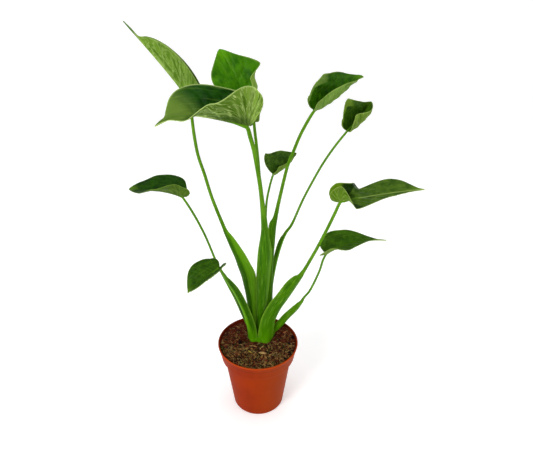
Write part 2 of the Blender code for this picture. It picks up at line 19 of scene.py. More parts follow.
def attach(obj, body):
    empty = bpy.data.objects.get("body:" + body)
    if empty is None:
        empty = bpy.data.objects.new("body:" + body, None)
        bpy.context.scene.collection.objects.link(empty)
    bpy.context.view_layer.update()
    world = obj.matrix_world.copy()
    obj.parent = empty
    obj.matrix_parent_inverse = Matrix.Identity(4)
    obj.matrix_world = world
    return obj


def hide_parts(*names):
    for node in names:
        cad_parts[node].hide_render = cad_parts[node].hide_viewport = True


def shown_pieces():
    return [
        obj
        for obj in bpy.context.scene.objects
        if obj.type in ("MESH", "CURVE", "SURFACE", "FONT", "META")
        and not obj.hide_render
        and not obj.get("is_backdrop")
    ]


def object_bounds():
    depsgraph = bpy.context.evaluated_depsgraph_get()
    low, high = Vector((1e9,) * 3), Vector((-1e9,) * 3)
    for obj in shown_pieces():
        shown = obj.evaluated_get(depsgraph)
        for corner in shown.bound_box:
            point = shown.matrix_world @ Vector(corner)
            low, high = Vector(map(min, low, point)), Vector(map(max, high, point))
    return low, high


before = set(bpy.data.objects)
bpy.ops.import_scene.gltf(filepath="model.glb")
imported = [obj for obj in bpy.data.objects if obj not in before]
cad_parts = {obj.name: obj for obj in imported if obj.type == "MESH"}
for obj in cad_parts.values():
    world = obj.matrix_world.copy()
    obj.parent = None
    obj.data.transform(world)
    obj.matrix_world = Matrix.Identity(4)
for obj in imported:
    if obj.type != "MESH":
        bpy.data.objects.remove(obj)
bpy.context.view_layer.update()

MM = 0.001

# %% [markdown]
# ## The camera
#
# A viewpoint can be found by trying, or worked out from things of known size. The lip of the pot is a
# circle of known width, seen as an ellipse, which gives how far down the camera looks and how far away it
# is. The lens was measured in pixels of the picture's width.

# %% Camera
PICTURE_WIDTH, FOCAL_PIXELS = 533, 464
SENSOR = 36                                # mm
LOOK_DOWN = 27.86                          # degrees
CAMERA_PLACE = (0.0125, -0.528, 0.566)     # m


def placed(name, data):
    """An object put in the scene."""
    thing = bpy.data.objects.new(name, data)
    bpy.context.scene.collection.objects.link(thing)
    return thing


camera = placed("camera", bpy.data.cameras.new("camera"))
camera.data.sensor_width = SENSOR
camera.data.lens = SENSOR * FOCAL_PIXELS / PICTURE_WIDTH
camera.location = CAMERA_PLACE
camera.rotation_euler = (radians(90 - LOOK_DOWN), 0, 0)
bpy.context.scene.camera = camera
print("lens in mm:", round(camera.data.lens, 1))

# %% [markdown]
# ## Meshes from rows of points
#
# Nearly every piece is a row of points repeated: rings up a stalk, rings round a pot, a grid over a blade.
# Modifiers could make them, but then nothing would know where on the leaf a point is. So numpy works out
# the points, in millimetres, and each mesh keeps numbers at its points for the finishes.

# %% Mesh helpers
def quads(rows, columns, closed=True):
    """Quads between neighbouring rows; closed joins the end of each row to its start."""
    i, j = np.meshgrid(np.arange(rows - 1), np.arange(columns if closed else columns - 1), indexing="ij")
    here, beside = i * columns + j, i * columns + (j + 1) % columns
    return np.stack([here, beside, beside + columns, here + columns], -1).reshape(-1, 4).tolist()


def capped(rows, sides):
    """The faces of a tube of rings, with a face over each end."""
    last = rows * sides
    return quads(rows, sides) + [list(range(sides))[::-1], list(range(last - sides, last))]


def ring(radius, height, sides):
    """Points round the upright axis, for one radius and height or for a column of them."""
    around = tau * np.arange(sides) / sides
    return np.stack([radius * np.cos(around), radius * np.sin(around), height + 0 * radius * around], -1)


def new_mesh(name, points, faces, values=None, sharp=50, merge=0.005):
    """An object from points in mm and faces. values maps a name to one number or a triple a point."""
    mesh = bpy.data.meshes.new(name)
    mesh.from_pydata((np.reshape(points, (-1, 3)) * MM).tolist(), [], [[int(i) for i in f] for f in faces])
    for key, numbers in (values or {}).items():
        numbers = np.ravel(numbers).astype(np.float32)
        kind, field = ("FLOAT", "value") if len(numbers) == len(mesh.vertices) else ("FLOAT_VECTOR", "vector")
        mesh.attributes.new(key, kind, "POINT").data.foreach_set(field, numbers)
    bm = bmesh.new()
    bm.from_mesh(mesh)
    bmesh.ops.remove_doubles(bm, verts=bm.verts, dist=merge * MM)
    bmesh.ops.dissolve_degenerate(bm, dist=merge * MM, edges=bm.edges)
    bmesh.ops.recalc_face_normals(bm, faces=bm.faces)
    bm.to_mesh(mesh)
    bm.free()
    mesh.shade_smooth()
    mesh.set_sharp_from_angle(angle=radians(sharp))
    return placed(name, mesh)


def turned(name, profile, sides, **more):
    """A form turned round Z from a profile of (radius, height)."""
    radius, height = np.array(profile, float).T[..., None]
    return new_mesh(name, ring(radius, height, sides), quads(len(profile), sides), **more)


def triangles(thing):
    thing.data.calc_loop_triangles()
    return len(thing.data.loop_triangles)


def finish_piece(thing, material, slot, *nodes):
    """Give a piece its material, let it ride on the one body and stand for its solids."""
    thing.data.materials.clear()
    thing.data.materials.append(material)
    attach(thing, "root")
    if nodes:
        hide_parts(*nodes)
    print(f"{thing.name}: {triangles(thing)} triangles")


def table(text):
    """Rows of numbers from a text, with a comma between rows."""
    return np.array([row.split() for row in text.split(",")], float)


def unit(vectors):
    """The vectors made 1 long."""
    return vectors / np.maximum(np.linalg.norm(vectors, axis=-1, keepdims=True), 1e-12)


def smooth(low, high, value):
    """0 at low, 1 at high, and a smooth rise between."""
    x = np.clip((value - low) / (high - low), 0, 1)
    return x * x * (3 - 2 * x)


# %% [markdown]
# ## Writing a finish as a sum
#
# A material is a network of nodes, and most of them only add, multiply and mix. This class wraps one
# output of a node, so that a sum written on it in Python adds the nodes that do the sum. Numbers go
# through Math nodes and colours through Mix, as Math would turn a colour grey. Any other node comes from
# `make`.

# %% The wire
class Wire:
    """One output of a node, which can be reckoned with."""

    def __init__(self, tree, socket=None):
        self.tree, self.socket = tree, socket

    def make(self, kind, settings=None, sockets=None, output=0):
        """Add a node: its settings first, then the values or wires of its sockets."""
        node = self.tree.nodes.new("ShaderNode" + kind)
        for key, value in (settings or {}).items():
            setattr(node, key, value)
        for key, value in (sockets or {}).items():
            if isinstance(value, Wire):
                self.tree.links.new(value.socket, node.inputs[key])
            else:
                node.inputs[key].default_value = value
        return Wire(self.tree, node.outputs[output])

    def sum(self, operation, *parts):
        """A Math node over the parts."""
        return self.make("Math", {"operation": operation}, dict(enumerate(parts)))

    def __add__(self, other):
        return self.sum("ADD", self, other)

    def __sub__(self, other):
        return self.sum("SUBTRACT", self, other)

    def __rsub__(self, other):
        return self.sum("SUBTRACT", other, self)

    def __mul__(self, other):
        return self.sum("MULTIPLY", self, other)

    def __pow__(self, other):
        return self.sum("POWER", self, other)

    def __rpow__(self, other):
        return self.sum("POWER", other, self)

    __radd__, __rmul__ = __add__, __mul__

    def between(self, low, high, rise="SMOOTHSTEP"):
        """0 below low, 1 above high, and a rise between, smooth unless another kind is named."""
        return self.make("MapRange", {"interpolation_type": rise},
                         {"Value": self, "From Min": low, "From Max": high})

    def mix(self, low, high):
        """The colour from low at 0 to high at 1 of this value."""
        return self.make("Mix", {"data_type": "RGBA"}, {0: self, 6: low, 7: high}, 2)

    def coated(self, *layers):
        """This colour with others laid over it in turn, each by its own amount."""
        coat = self
        for amount, colour in layers:
            coat = amount.mix(coat, colour)
        return coat

    def stretched(self, x, y, z):
        return self.make("VectorMath", {"operation": "MULTIPLY"}, {0: self, 1: (x, y, z)})

    def length(self):
        return self.make("VectorMath", {"operation": "LENGTH"}, {0: self}, "Value")

    def axis(self, letter):
        return self.make("SeparateXYZ", None, {0: self}, letter)

    def speckle(self, scale, detail=3, roughness=0.55, distortion=0):
        """Noise over this vector, as a value round a half."""
        return self.make("TexNoise", None, {"Vector": self, "Scale": scale, "Detail": detail,
                                            "Roughness": roughness, "Distortion": distortion})

    def kept(self, name, output="Fac"):
        """The numbers that a mesh keeps at its points under a name."""
        return self.make("Attribute", {"attribute_name": name}, None, output)

    def place(self):
        return self.make("TexCoord", None, None, "Object")


def rgb(red, green, blue):
    """A colour from screen values out of 255."""
    return tuple(((c / 255 + 0.055) / 1.055) ** 2.4 if c > 10 else c / 255 / 12.92
                 for c in (red, green, blue)) + (1,)


def colours(text):
    """The colours of a text, with a comma between them."""
    return [rgb(*row) for row in table(text)]


def new_finish(name, write, **uniform):
    """A material. write gets a wire and returns what varies; uniform are values of the shader."""
    material = bpy.data.materials.new(name)
    material.use_nodes = True
    tree = material.node_tree
    shader = tree.nodes["Principled BSDF"]
    for key, value in uniform.items():
        shader.inputs[key.replace("_", " ")].default_value = value
    for key, value in write(Wire(tree)).items():
        if key == "Bump":
            height, depth = value
            value = height.make("Bump", None, {"Height": height, "Strength": 1, "Distance": depth})
            key = "Normal"
        tree.links.new(value.socket, shader.inputs[key])
    return material


# %% [markdown]
# ## The studio
#
# The plant is shown against white. A white room would do, and so does a wide white dish with a turned-up
# edge, which looks the same from every side. A large light at the front left gives the form, a wide one
# above lifts the leaves, and a weak one at the right opens the shadows. Blender's usual view of colours
# greys a white ground and dulls strong greens, so the plain one is chosen.

# %% Floor and lights
bpy.context.scene.view_settings.view_transform = "Standard"
STUDIO_WHITE, FULL_WHITE, GLOW = 0.92, (1, 1, 1, 1), 0.3
FLOOR_DROP = 0.4
DISH = [(0, 0), (1500, 0), (2600, 0), (3000, 40), (3350, 180), (3600, 480), (3720, 900), (3760, 2600)]
floor = turned("studio_floor", DISH, 96, sharp=180)
floor.location.z = -FLOOR_DROP * MM
floor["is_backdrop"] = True


def paint_floor(wire):
    return {"Base Color": wire.place().speckle(3).mix(
        (STUDIO_WHITE,) * 3 + (1,), (STUDIO_WHITE + 0.02,) * 3 + (1,))}


floor.data.materials.append(new_finish("studio_white", paint_floor, Roughness=0.9, Specular_IOR_Level=0.1,
                                       Emission_Color=FULL_WHITE, Emission_Strength=GLOW))

world = bpy.context.scene.world = bpy.data.worlds.new("studio")
world.use_nodes = True
sky = world.node_tree.nodes["Background"].inputs
sky["Color"].default_value, sky["Strength"].default_value = FULL_WHITE, GLOW

LIGHTS_AIM = Vector((0, 0, 0.3))
LIGHTS = {   # where it stands, its width and its power
    "front_left": ((-1.3, -1.7, 1.7), 1, 32), "above": ((0.1, 0.2, 2.4), 1.6, 13),
    "right": ((1.8, -0.6, 1), 1.2, 4)}
for name, (spot, width, power) in LIGHTS.items():
    lamp = placed("light_" + name, bpy.data.lights.new("light_" + name, "AREA"))
    lamp.data.shape, lamp.data.size, lamp.data.energy = "DISK", width, power
    lamp.location = spot
    lamp.rotation_euler = (LIGHTS_AIM - Vector(spot)).to_track_quat("-Z", "Y").to_euler()
print("lights:", len(LIGHTS))

# %% [markdown]
# ## The pot
#
# Such a pot is injection moulded: a thin wall that widens upwards, a deeper collar for stacking with a
# small ledge under it, a flared lip, and holes in the floor. It is a turned form, so its section is spun
# round the upright axis, and the holes are cut out. The section repeats the solid's sizes and rounds the
# places where a mould would be rounded.

# %% Pot form
POT_HEIGHT, LIP_RADIUS, WALL, LIP_ROUND, POT_SIDES = 110, 58.2, 1.3, 0.9, 160
COLLAR_TOP, COLLAR_FOOT, COLLAR_HEIGHT, STEP_DROP, LEDGE_LIFT = 57, 53.6, 22.4, 2, 0.8
BODY_TOP, BASE_RADIUS, FOOT_ROUND, POT_FLOOR = 49.2, 38, 1.8, 2
DRAIN_COUNT, DRAIN_RING, DRAIN_RADIUS = 8, 26, 4
LEDGE = POT_HEIGHT - COLLAR_HEIGHT
STEP = LEDGE - STEP_DROP


def arc(middle, radius, start, end, steps):
    """Points on an arc of a section, in degrees from the outward direction."""
    return [(middle[0] + radius * cos(a), middle[1] + radius * sin(a))
            for a in np.radians(np.linspace(start, end, steps))]


def run(start, end, steps):
    """Points between two of a section, and the second of them."""
    return [tuple(np.add(start, np.subtract(end, start) * k / (steps + 1))) for k in range(1, steps + 2)]


section = [(0, POT_FLOOR), (18, POT_FLOOR), (34, POT_FLOOR), (BASE_RADIUS - WALL, POT_FLOOR)]
section += run(section[-1], (BODY_TOP - WALL, STEP + LEDGE_LIFT), 8)
section += [(COLLAR_FOOT - WALL, LEDGE + LEDGE_LIFT)]
section += run(section[-1], (COLLAR_TOP - WALL, POT_HEIGHT - 2.2), 4)
section += arc((LIP_RADIUS - LIP_ROUND, POT_HEIGHT - LIP_ROUND), LIP_ROUND, 150, -15, 12)
section += [(57.85, 107.4), (57.35, 105.4), (56.75, 103.2), (56.15, 100.8), (55.5, 98), (54.85, 95)]
section += run(section[-1], (COLLAR_FOOT, LEDGE + 0.4), 2)[:-1]
section += arc((COLLAR_FOOT - 0.5, LEDGE + 0.4), 0.5, 0, -70, 5)
section += [(BODY_TOP + 0.35, STEP + 0.25), (BODY_TOP, STEP - 0.3)]
section += run(section[-1], (BASE_RADIUS, FOOT_ROUND), 10)[:-1]
section += arc((BASE_RADIUS - FOOT_ROUND, FOOT_ROUND), FOOT_ROUND, -5, -88, 7)
section += [(33.4, 0), (33, 0.7), (15, 0.7), (6.2, 0.7), (6, 0.3), (1.2, 0.3), (0.9, 0.7), (0, 0.7)]
pot = turned("pot_moulded", section, POT_SIDES, sharp=60)

drill = bmesh.new()
for turn in tau * (np.arange(DRAIN_COUNT) + 0.5) / DRAIN_COUNT:
    spot = Matrix.Translation(DRAIN_RING * MM * Vector((cos(turn), sin(turn), 0)))
    bmesh.ops.create_cone(drill, cap_ends=True, segments=32, radius1=DRAIN_RADIUS * MM,
                          radius2=DRAIN_RADIUS * MM, depth=4 * POT_FLOOR * MM, matrix=spot)
bits = placed("drill_bits", bpy.data.meshes.new("drill_bits"))
drill.to_mesh(bits.data)
drill.free()
cut = pot.modifiers.new("Drain holes", "BOOLEAN")
cut.operation, cut.solver, cut.object = "DIFFERENCE", "EXACT", bits
bpy.context.view_layer.update()
drilled = bpy.data.meshes.new_from_object(pot.evaluated_get(bpy.context.evaluated_depsgraph_get()))
pot.modifiers.clear()
pot.data = drilled
pot.data.set_sharp_from_angle(angle=radians(45))
bpy.data.objects.remove(bits, do_unlink=True)
print("points in the pot's section:", len(section))

# %% [markdown]
# ## The pot's finish
#
# Brick-coloured plastic is dyed through, but it is never one flat colour. The mould leaves faint upright
# flow lines, handling leaves duller patches, and soil dust sits on the collar. Light and shade are painted
# in as well: the right side is painted lighter, the lip paler in front and in shade behind, and the inside
# of the rim above the soil darker, in shade. Each of these is a noise or a slope over the pot's own
# coordinates, stretched the way that the mark runs.

# %% Pot finish
def paint_pot(wire):
    place = wire.place()
    height = place.axis("Z")
    flow = place.stretched(1, 1, 0.1).speckle(120, 3)
    patch = place.speckle(28, 4, 0.6)
    dust = place.speckle(420, 5, 0.7).between(0.56, 0.75) * place.speckle(40).between(0.42, 0.62)
    # Painted light and shade on the lip: paler in front, darker behind, in shade.
    lip = place.axis("Y").between(-0.035, 0.035).mix(rgb(170, 62, 14), rgb(104, 32, 12))
    outer = place.stretched(1, 1, 0).length().between((LIP_RADIUS - 2.4) * MM, (LIP_RADIUS - 1.6) * MM)
    plastic = (flow * 0.25 + patch * 0.75).between(0.3, 0.7).mix(rgb(130, 34, 0), rgb(146, 44, 0)).coated(
        # Painted light: the pot's right side lighter.
        (place.axis("X").between(-0.03, 0.05) * 0.7, rgb(144, 58, 10)),
        (height.between((POT_HEIGHT - 3) * MM, (POT_HEIGHT - 0.8) * MM), lip),
        (dust * height.between(0.07, 0.105) * 0.15, rgb(104, 56, 30)),
        # Painted shade: the inside of the pot above 100 mm darker, apart from the lip's outside.
        (height.between(0.1, 0.101) * (1 - outer), rgb(88, 22, 4)))
    return {"Base Color": plastic, "Roughness": 0.42 + patch * 0.18 + dust * 0.2,
            "Bump": (flow * 0.12 + place.speckle(900, 4) * 0.4 + patch * 0.2, 0.00012)}


finish_piece(pot, new_finish("moulded_plastic", paint_pot, Specular_IOR_Level=0.03), "pot", "pot")

# %% [markdown]
# ## The soil
#
# Potting soil is peat and coconut fibre: a dark, open crumb with pale threads all over it. A bump map
# could hint at the crumb, but the light on each lump and the threads' own shadows are what make it read as
# soil. So the surface is a fine disc pushed up and down by noise, and the crumbs, chips and threads are
# real pieces scattered over it.

# %% Soil surface
SOIL_LEVEL, SOIL_LUMP, SOIL_GAP, SOIL_RINGS, SOIL_SIDES = 106, 1.1, 0.3, 96, 300


def soil_side(height):
    """How far the soil reaches from the axis at a height inside the collar."""
    return COLLAR_FOOT + (COLLAR_TOP - COLLAR_FOOT) * (height - LEDGE) / COLLAR_HEIGHT - WALL - SOIL_GAP


SOIL_RIM = soil_side(SOIL_LEVEL)


def soil_height(x, y):
    """The height of the soil at a place, with its crumb."""
    calm = 1 - (np.hypot(x, y) / SOIL_RIM) ** 4 * 0.6
    lump = (sin(0.19 * x + 1.3) * cos(0.23 * y - 0.4) + 0.6 * sin(0.41 * x - 0.37 * y + 2)) / 1.6
    rough = 1.1 * noise.noise((0.35 * x, 0.35 * y, 3)) + 1.3 * abs(noise.noise((0.8 * x, 0.8 * y, 9)))
    fine = 0.8 * noise.noise((1.9 * x, 1.9 * y, 5))
    return SOIL_LEVEL - 0.2 + SOIL_LUMP * calm * lump + rough + fine


top = ring((np.linspace(0, 1, SOIL_RINGS) ** 0.75 * (SOIL_RIM + 0.25))[:, None], 0, SOIL_SIDES)
top[..., 2] = np.vectorize(soil_height)(top[..., 0], top[..., 1])
walls = [(soil_side(102) + 0.1, 102), *np.array([
    (COLLAR_FOOT, LEDGE + LEDGE_LIFT), (BODY_TOP, STEP + LEDGE_LIFT), (BASE_RADIUS, POT_FLOOR),
    (WALL + SOIL_GAP, POT_FLOOR)]) + (-WALL - SOIL_GAP, SOIL_GAP)]
lower = [ring(radius, height, SOIL_SIDES) for radius, height in walls]
soil = new_mesh("potting_soil", [*top, *lower], quads(SOIL_RINGS + len(walls), SOIL_SIDES), sharp=75)


def paint_soil(wire):
    place = wire.place()
    crumb, patch, back = place.speckle(520, 6, 0.7), place.speckle(60, 4), place.axis("Y")
    earth = crumb.between(0.36, 0.5, "LINEAR").mix(rgb(8, 3, 2), rgb(40, 15, 8)).coated(
        (crumb.between(0.5, 0.62, "LINEAR"), rgb(90, 40, 22)),
        (crumb.between(0.62, 0.78, "LINEAR"), rgb(150, 86, 48)),
        (patch.between(0.46, 0.62) * back.between(0.01, -0.02) * 0.55, rgb(50, 46, 14)),
        (back.between(-0.02, 0.02) * 0.45, rgb(96, 32, 20)))
    return {"Base Color": earth, "Roughness": 0.85 + crumb * 0.15,
            "Bump": (crumb + place.speckle(1600, 4), 0.0006)}


finish_piece(soil, new_finish("peat_and_fibre", paint_soil, Specular_IOR_Level=0.05), "soil", "soil")

# %% [markdown]
# ## Threads, crumbs and chips on the soil
#
# Thousands of separate objects would be slow, so each kind is one mesh of many small closed forms that
# keep their own colours. A thread is a thin three-sided tube that follows the soil and lifts a little; a
# crumb is a ball pushed out of shape. One fixed seed makes the scatter the same each time. Pale and mossy
# bits lie in front, and rusty ones behind.

# %% Scatter on the soil
THREAD_COUNT, CRUMB_COUNT, CHIP_COUNT = 2300, 950, 26
THREAD_COLOURS = colours("176 124 66, 226 190 124, 144 64 38, 96 38 22, 190 182 96")
THREAD_FRONT, THREAD_BACK = (0.32, 0.26, 0.18, 0.06, 0.18), (0.12, 0.05, 0.51, 0.3, 0.02)
CRUMB_COLOURS = colours("18 7 4, 58 24 13, 94 42 24, 52 48 12, 150 108 58")
CRUMB_PALE, CRUMB_DARK = (0.1, 0.15, 0.2, 0.3, 0.25), (0.35, 0.35, 0.24, 0.03, 0.03)
CROWN_PLACE = np.array((4, 16.5))
rng = np.random.default_rng(12)


def open_place(margin=1):
    """A random place on the soil that is clear of the crown and of the pot."""
    while True:
        x, y = rng.uniform(-SOIL_RIM, SOIL_RIM, 2)
        crown_share = np.hypot(*((x, y) - CROWN_PLACE) / (19.5, 17))
        if np.hypot(x, y) < SOIL_RIM - margin and crown_share > 1:
            return x, y


def picked(tints, shares):
    """One of the colours, which fall in the given shares."""
    return np.array(tints[rng.choice(len(tints), p=shares)][:3])


def tube(line, radius):
    """Points and faces of a thin, three-sided tube along a line, narrow at both ends."""
    ahead = unit(np.gradient(line, axis=0))
    across = unit(np.cross(ahead, (0.1, 0.2, 1)))
    x, y, _ = ring(1, 0, 3).T[..., None]
    around = across[:, None] * x + np.cross(across, ahead)[:, None] * y
    thin = radius * np.sin(np.linspace(0.12, pi - 0.12, len(line))) ** 0.5
    return (line[:, None] + around * thin[:, None, None]).reshape(-1, 3), capped(len(line), 3)


def gather(name, parts):
    """One object from many small forms, each with its colour at its points."""
    points, faces, tints = [], [], []
    for form, its_faces, colour in parts:
        faces += [[i + len(points) for i in face] for face in its_faces]
        points += [*form]
        tints += [colour] * len(form)
    return new_mesh(name, points, faces, {"own_colour": tints}, sharp=60, merge=0.0005)


threads = []
for _ in range(THREAD_COUNT):
    x, y = open_place()
    length, heading = rng.uniform(2.5, 9), rng.uniform(0, tau)
    steps = np.linspace(-0.5, 0.5, 6)
    bearing = heading + rng.normal(0, 0.9) * steps
    path = np.cumsum(np.stack([np.cos(bearing), np.sin(bearing)], -1) * length / 5, axis=0)
    path += (x, y) - path.mean(0)
    path *= np.minimum(1, (SOIL_RIM - 0.4) / np.hypot(*path.T))[:, None]
    lift = rng.uniform(0.1, 0.7) + rng.uniform(0, 1.4) * (1 - (2 * steps) ** 2) + rng.normal(0, 0.5) * steps
    line = np.array([(px, py, soil_height(px, py) + h) for (px, py), h in zip(path, lift)])
    front = rng.random() < np.interp(y, (-14, 8), (0.8, 0.12))
    colour = picked(THREAD_COLOURS, THREAD_FRONT if front else THREAD_BACK) * rng.uniform(0.75, 1.15)
    threads.append((*tube(line, rng.uniform(0.08, 0.21)), colour))

bm = bmesh.new()
bmesh.ops.create_icosphere(bm, subdivisions=2, radius=1)
BALL = np.array([v.co for v in bm.verts])
BALL_FACES = [[v.index for v in f.verts] for f in bm.faces]
bm.free()


def ball_noise(stretch, shift):
    """A noise from -1 to 1 at each point of the ball."""
    return np.array([noise.noise(p) for p in BALL * stretch + shift])


def spun(points, turn):
    """Points turned about the upright axis."""
    return points @ np.array([[cos(turn), sin(turn), 0], [-sin(turn), cos(turn), 0], [0, 0, 1]])


crumbs = []
for _ in range(CRUMB_COUNT):
    x, y = open_place(2)
    size = 0.45 + rng.gamma(1.6, 0.42)
    form = BALL * (1 + 0.35 * ball_noise(1.3, (x, y, size)))[:, None]
    form = form * (size * rng.uniform((0.8, 0.6, 0.45), (1.5, 1.1, 0.8)))
    form = spun(form, rng.uniform(0, tau)) + (x, y, soil_height(x, y) + size * 0.25)
    pale = rng.random() < 0.25 + 0.3 * (y < -5)
    colour = picked(CRUMB_COLOURS, CRUMB_PALE if pale else CRUMB_DARK)
    crumbs.append((form, BALL_FACES, colour * rng.uniform(0.8, 1.2, 3)))


def paint_bits(wire):
    fleck = wire.place().speckle(1400, 4, 0.7)
    own = wire.kept("own_colour", "Color")
    return {"Base Color": (fleck.between(0.35, 0.65) * 0.55).mix(own, rgb(32, 16, 8)),
            "Roughness": 0.7 + fleck * 0.25, "Bump": (fleck, 0.0003)}


bits_finish = new_finish("dry_fibre_and_bark", paint_bits, Specular_IOR_Level=0.08)
finish_piece(gather("soil_threads", threads), bits_finish, "soil")
finish_piece(gather("soil_crumbs", crumbs), bits_finish, "soil")

# %% [markdown]
# A few chips of bark lie on top. Four pale ones near the stems are listed; the others fall where the
# scatter puts them. A chip is a flat, split shape: a ball squashed until its ends are sharp, then broken
# up along its grain.

# %% Bark chips
CHIP_COLOURS = colours("128 84 50, 92 58 36, 158 116 66")
CHIPS = [((6.7, -22.5), 6, 2.1, -12, rgb(222, 176, 114)), ((4.4, -12.3), 7.2, 0.8, 53, rgb(204, 172, 110)),
         ((-8, -8.2), 8, 1, -21, rgb(186, 140, 86)), ((-11, -19.3), 4.8, 1.1, -43, rgb(206, 178, 74))]
for _ in range(CHIP_COUNT):
    CHIPS.append((open_place(5), rng.uniform(1.8, 4), rng.uniform(0.8, 1.6), rng.uniform(0, 180),
                  CHIP_COLOURS[rng.integers(3)]))
chips = []
for (x, y), half_length, half_width, turn, colour in CHIPS:
    grain = ball_noise((0.8, 3, 2), (x, y, 0))
    form = BALL * (half_length, half_width, 0.55) * (1 + 0.3 * grain[:, None])
    form[:, 2] += 0.12 * form[:, 0] + 0.4 * grain
    ground = np.mean([soil_height(x + dx, y + dy) for dx in (-2, 0, 2) for dy in (-2, 0, 2)])
    chips.append((spun(form, radians(turn)) + (x, y, ground + 0.8), BALL_FACES, colour[:3]))
finish_piece(gather("soil_chips", chips), bits_finish, "soil")

# %% [markdown]
# ## The plan of the leaves
#
# A blade is laid out flat first: half of it on each side of the midrib, an outline from the tip round the
# shoulder to the notch at the stalk. Each half is raised by a fold at the midrib and rolled further by a
# curl, and the midrib itself bends. Sculpting would do it too, but the veins, which grow on the flat leaf,
# would then have to be painted on. The sizes are the solids' own.

# %% Leaf tables
FAN_START, ROOT_CROWD, THIN_REACH, MARGIN_POINTS = 0.62, 1.1, 4, 161
RIB_THICKNESS, BLADE_THICKNESS, PROBE = 1.8, 0.75, 0.2
EVEN, EARLY, LATE = (-.15, .12, .5, .95), (-.15, .03, .42, .72), (-.1, .1, .5, .8)   # where folds change
LOBE = np.array([(0, 1), (.12, .97), (.35, .88), (.6, .72), (.82, .52), (.96, .36), (1, .24)])


def half(width, edge, fold, curl, notch, shoulder=.95, cup=70, knots=EVEN, level=0):
    """Half a blade: width, outline as (ahead, aside), fold and curl along the midrib, and its lobe."""
    return dict(locals(), edge=np.array([(1, 0), *table(edge)]), curl=np.broadcast_to(curl, 4))


def blade_plan(at, heading, pitch, bend, length, left, right, sweep=(0, 0), roll=0):
    """A blade: its place, the way that it points and bends, its length and its two halves."""
    return dict(locals(), left=half(*left), right=half(*right))


EDGE_A = ".9 .03, .8 .06, .75 .32, .67 .58, .54 .83, .37 .98, .22 1, .08 .92"
EDGE_F = ".96 .1, .9 .22, .8 .4, .66 .6, .5 .76, .32 .88, .18 .98, .08 1"
EDGE_I = ".985 .1, .93 .32, .82 .6, .64 .86, .42 1, .2 .97, .08 .86"
EDGE_J = ".97 .06, .91 .25, .8 .55, .64 .85, .42 1, .2 .98, .08 .88"

LEAVES = {
    "a": blade_plan((-77.3, 30, 448.8), 176, 56, (-5, -2), 110,
        (23.5, EDGE_A, (60, 70, 75, 65), 12, 40, .8), (23, EDGE_A, (70, 86, 86, 75), 4, 40, .8)),
    "b": blade_plan((-7.3, -35, 435.6), 187, 20, (-10, -42), 102,
        (44, ".94 .04, .88 .07, .83 .12, .76 .27, .66 .5, .5 .78, .25 .95, .08 .95", (78, 75, 25, -5),
        (25, 25, 20, 0), 26, .86, 75, EARLY),
        (32, ".92 .07, .87 .12, .83 .35, .77 .7, .68 .93, .52 1, .25 1, .08 .97", (62, 80, 70, 50),
        (10, 10, 5, 10), 30, .95, 75, EARLY)),
    "c": blade_plan((-1.9, 5, 430.2), 152, 68.5, (-6, -14), 88.5,
        (28, ".985 .12, .95 .26, .87 .56, .78 .84, .68 .97, .58 .98, .35 .82, .08 .6", (60, 45, 10, 5),
        (20, 20, 15, 10), 20, .6, 80, (-.15, .2, .55, .75)),
        (31.5, ".985 .05, .96 .12, .9 .25, .83 .42, .78 .57, .71 .79, .62 1, .48 1.05, .28 .85, .08 .42",
        (60, 30, 5, 0), (170, 170, 150, 10), 15, .3, 80, (-.05, .25, .48, .66), .3), roll=-50),
    "d": blade_plan((69.1, 30, 438.2), 34, 15, (18, -30), 87,
        (35, ".97 .09, .88 .17, .76 .32, .66 .5, .52 .73, .35 .96, .24 1.04, .17 1.04, .08 .9",
        (58, 66, 60, 38), (75, 65, 50, 40), 35, .55, 60),
        (24, ".97 .04, .9 .1, .78 .32, .66 .6, .52 .88, .35 1, .18 .97, .08 .9", (15, -5, -10, 5),
        (100, 118, 115, 95), 35, .8, 80), sweep=(0, 8)),
    "e": blade_plan((114, 50, 408), 48, 22, (5, 8), 60,
        (34, ".93 .1, .8 .28, .65 .52, .5 .74, .38 .92, .28 1.05, .18 1, .08 .8", (70, 80, 85, 80),
        (20, 10, 5, 5), 48, .52, 60), (31, EDGE_F, (20, -5, -10, 20), (110, 125, 120, 90), 30, .8, 80)),
    "f": blade_plan((21.2, 60, 346.2), 43, 12, (12, 12), 49,
        (31, ".96 .1, .9 .22, .8 .4, .66 .6, .5 .73, .32 .82, .18 .87, .06 .93", (50, 62, 60, 50),
        35, 20, .98), (16, EDGE_F, (5, 5, 5, 20), 90, 45, .8, 80)),
    "g": blade_plan((100.3, -20, 341.4), 2, 12, (-4, -2), 101,
        (24.5, ".95 .07, .92 .16, .86 .42, .76 .8, .62 1, .45 1, .32 .9, .22 .77, .12 .84, .05 .92",
        (80, 80, 5, 22), (10, 10, 5, 0), 70, .95, 88, (-.1, .15, .28, .68)),
        (23.5, ".95 .04, .85 .14, .7 .34, .5 .6, .32 .86, .2 1, .12 1, .05 .98", (70, 68, -8, 5),
        (15, 15, 5, 0), 75, .95, 88, (-.1, .02, .155, .6))),
    "h": blade_plan((90.3, 0, 257.1), 4, 36, (-24, -20), 84,
        (25, ".92 .02, .84 .06, .74 .28, .58 .65, .4 .92, .22 1, .08 .85", (50, 40, 22, 5),
        10, 10, .6, 80, (-.1, .1, .38, .8)),
        (23, ".92 .02, .8 .05, .66 .22, .5 .58, .36 .88, .2 1, .08 .9", (42, 34, 4, 0),
        10, 50, .75, 50, (-.1, .1, .38, .8))),
    "i": blade_plan((-90.6, 0, 338.6), 180, 27, (-22, -4), 67,
        (22, EDGE_I, (60, 55, 20, 0), 10, 40, .85, 70, LATE),
        (24, EDGE_I, (60, 45, 28, 15), 10, 30, .5, 70, LATE)),
    "j": blade_plan((-45.1, -50, 266.7), 215, -18, (-4, -8), 48,
        (25, EDGE_J, (40, 30, 30, 25), 5, 78, .68), (25, EDGE_J, (15, 15, 20, 10), 5, 40, .75)),
}
print("blades:", len(LEAVES), "longest in mm:", max(leaf["length"] for leaf in LEAVES.values()))
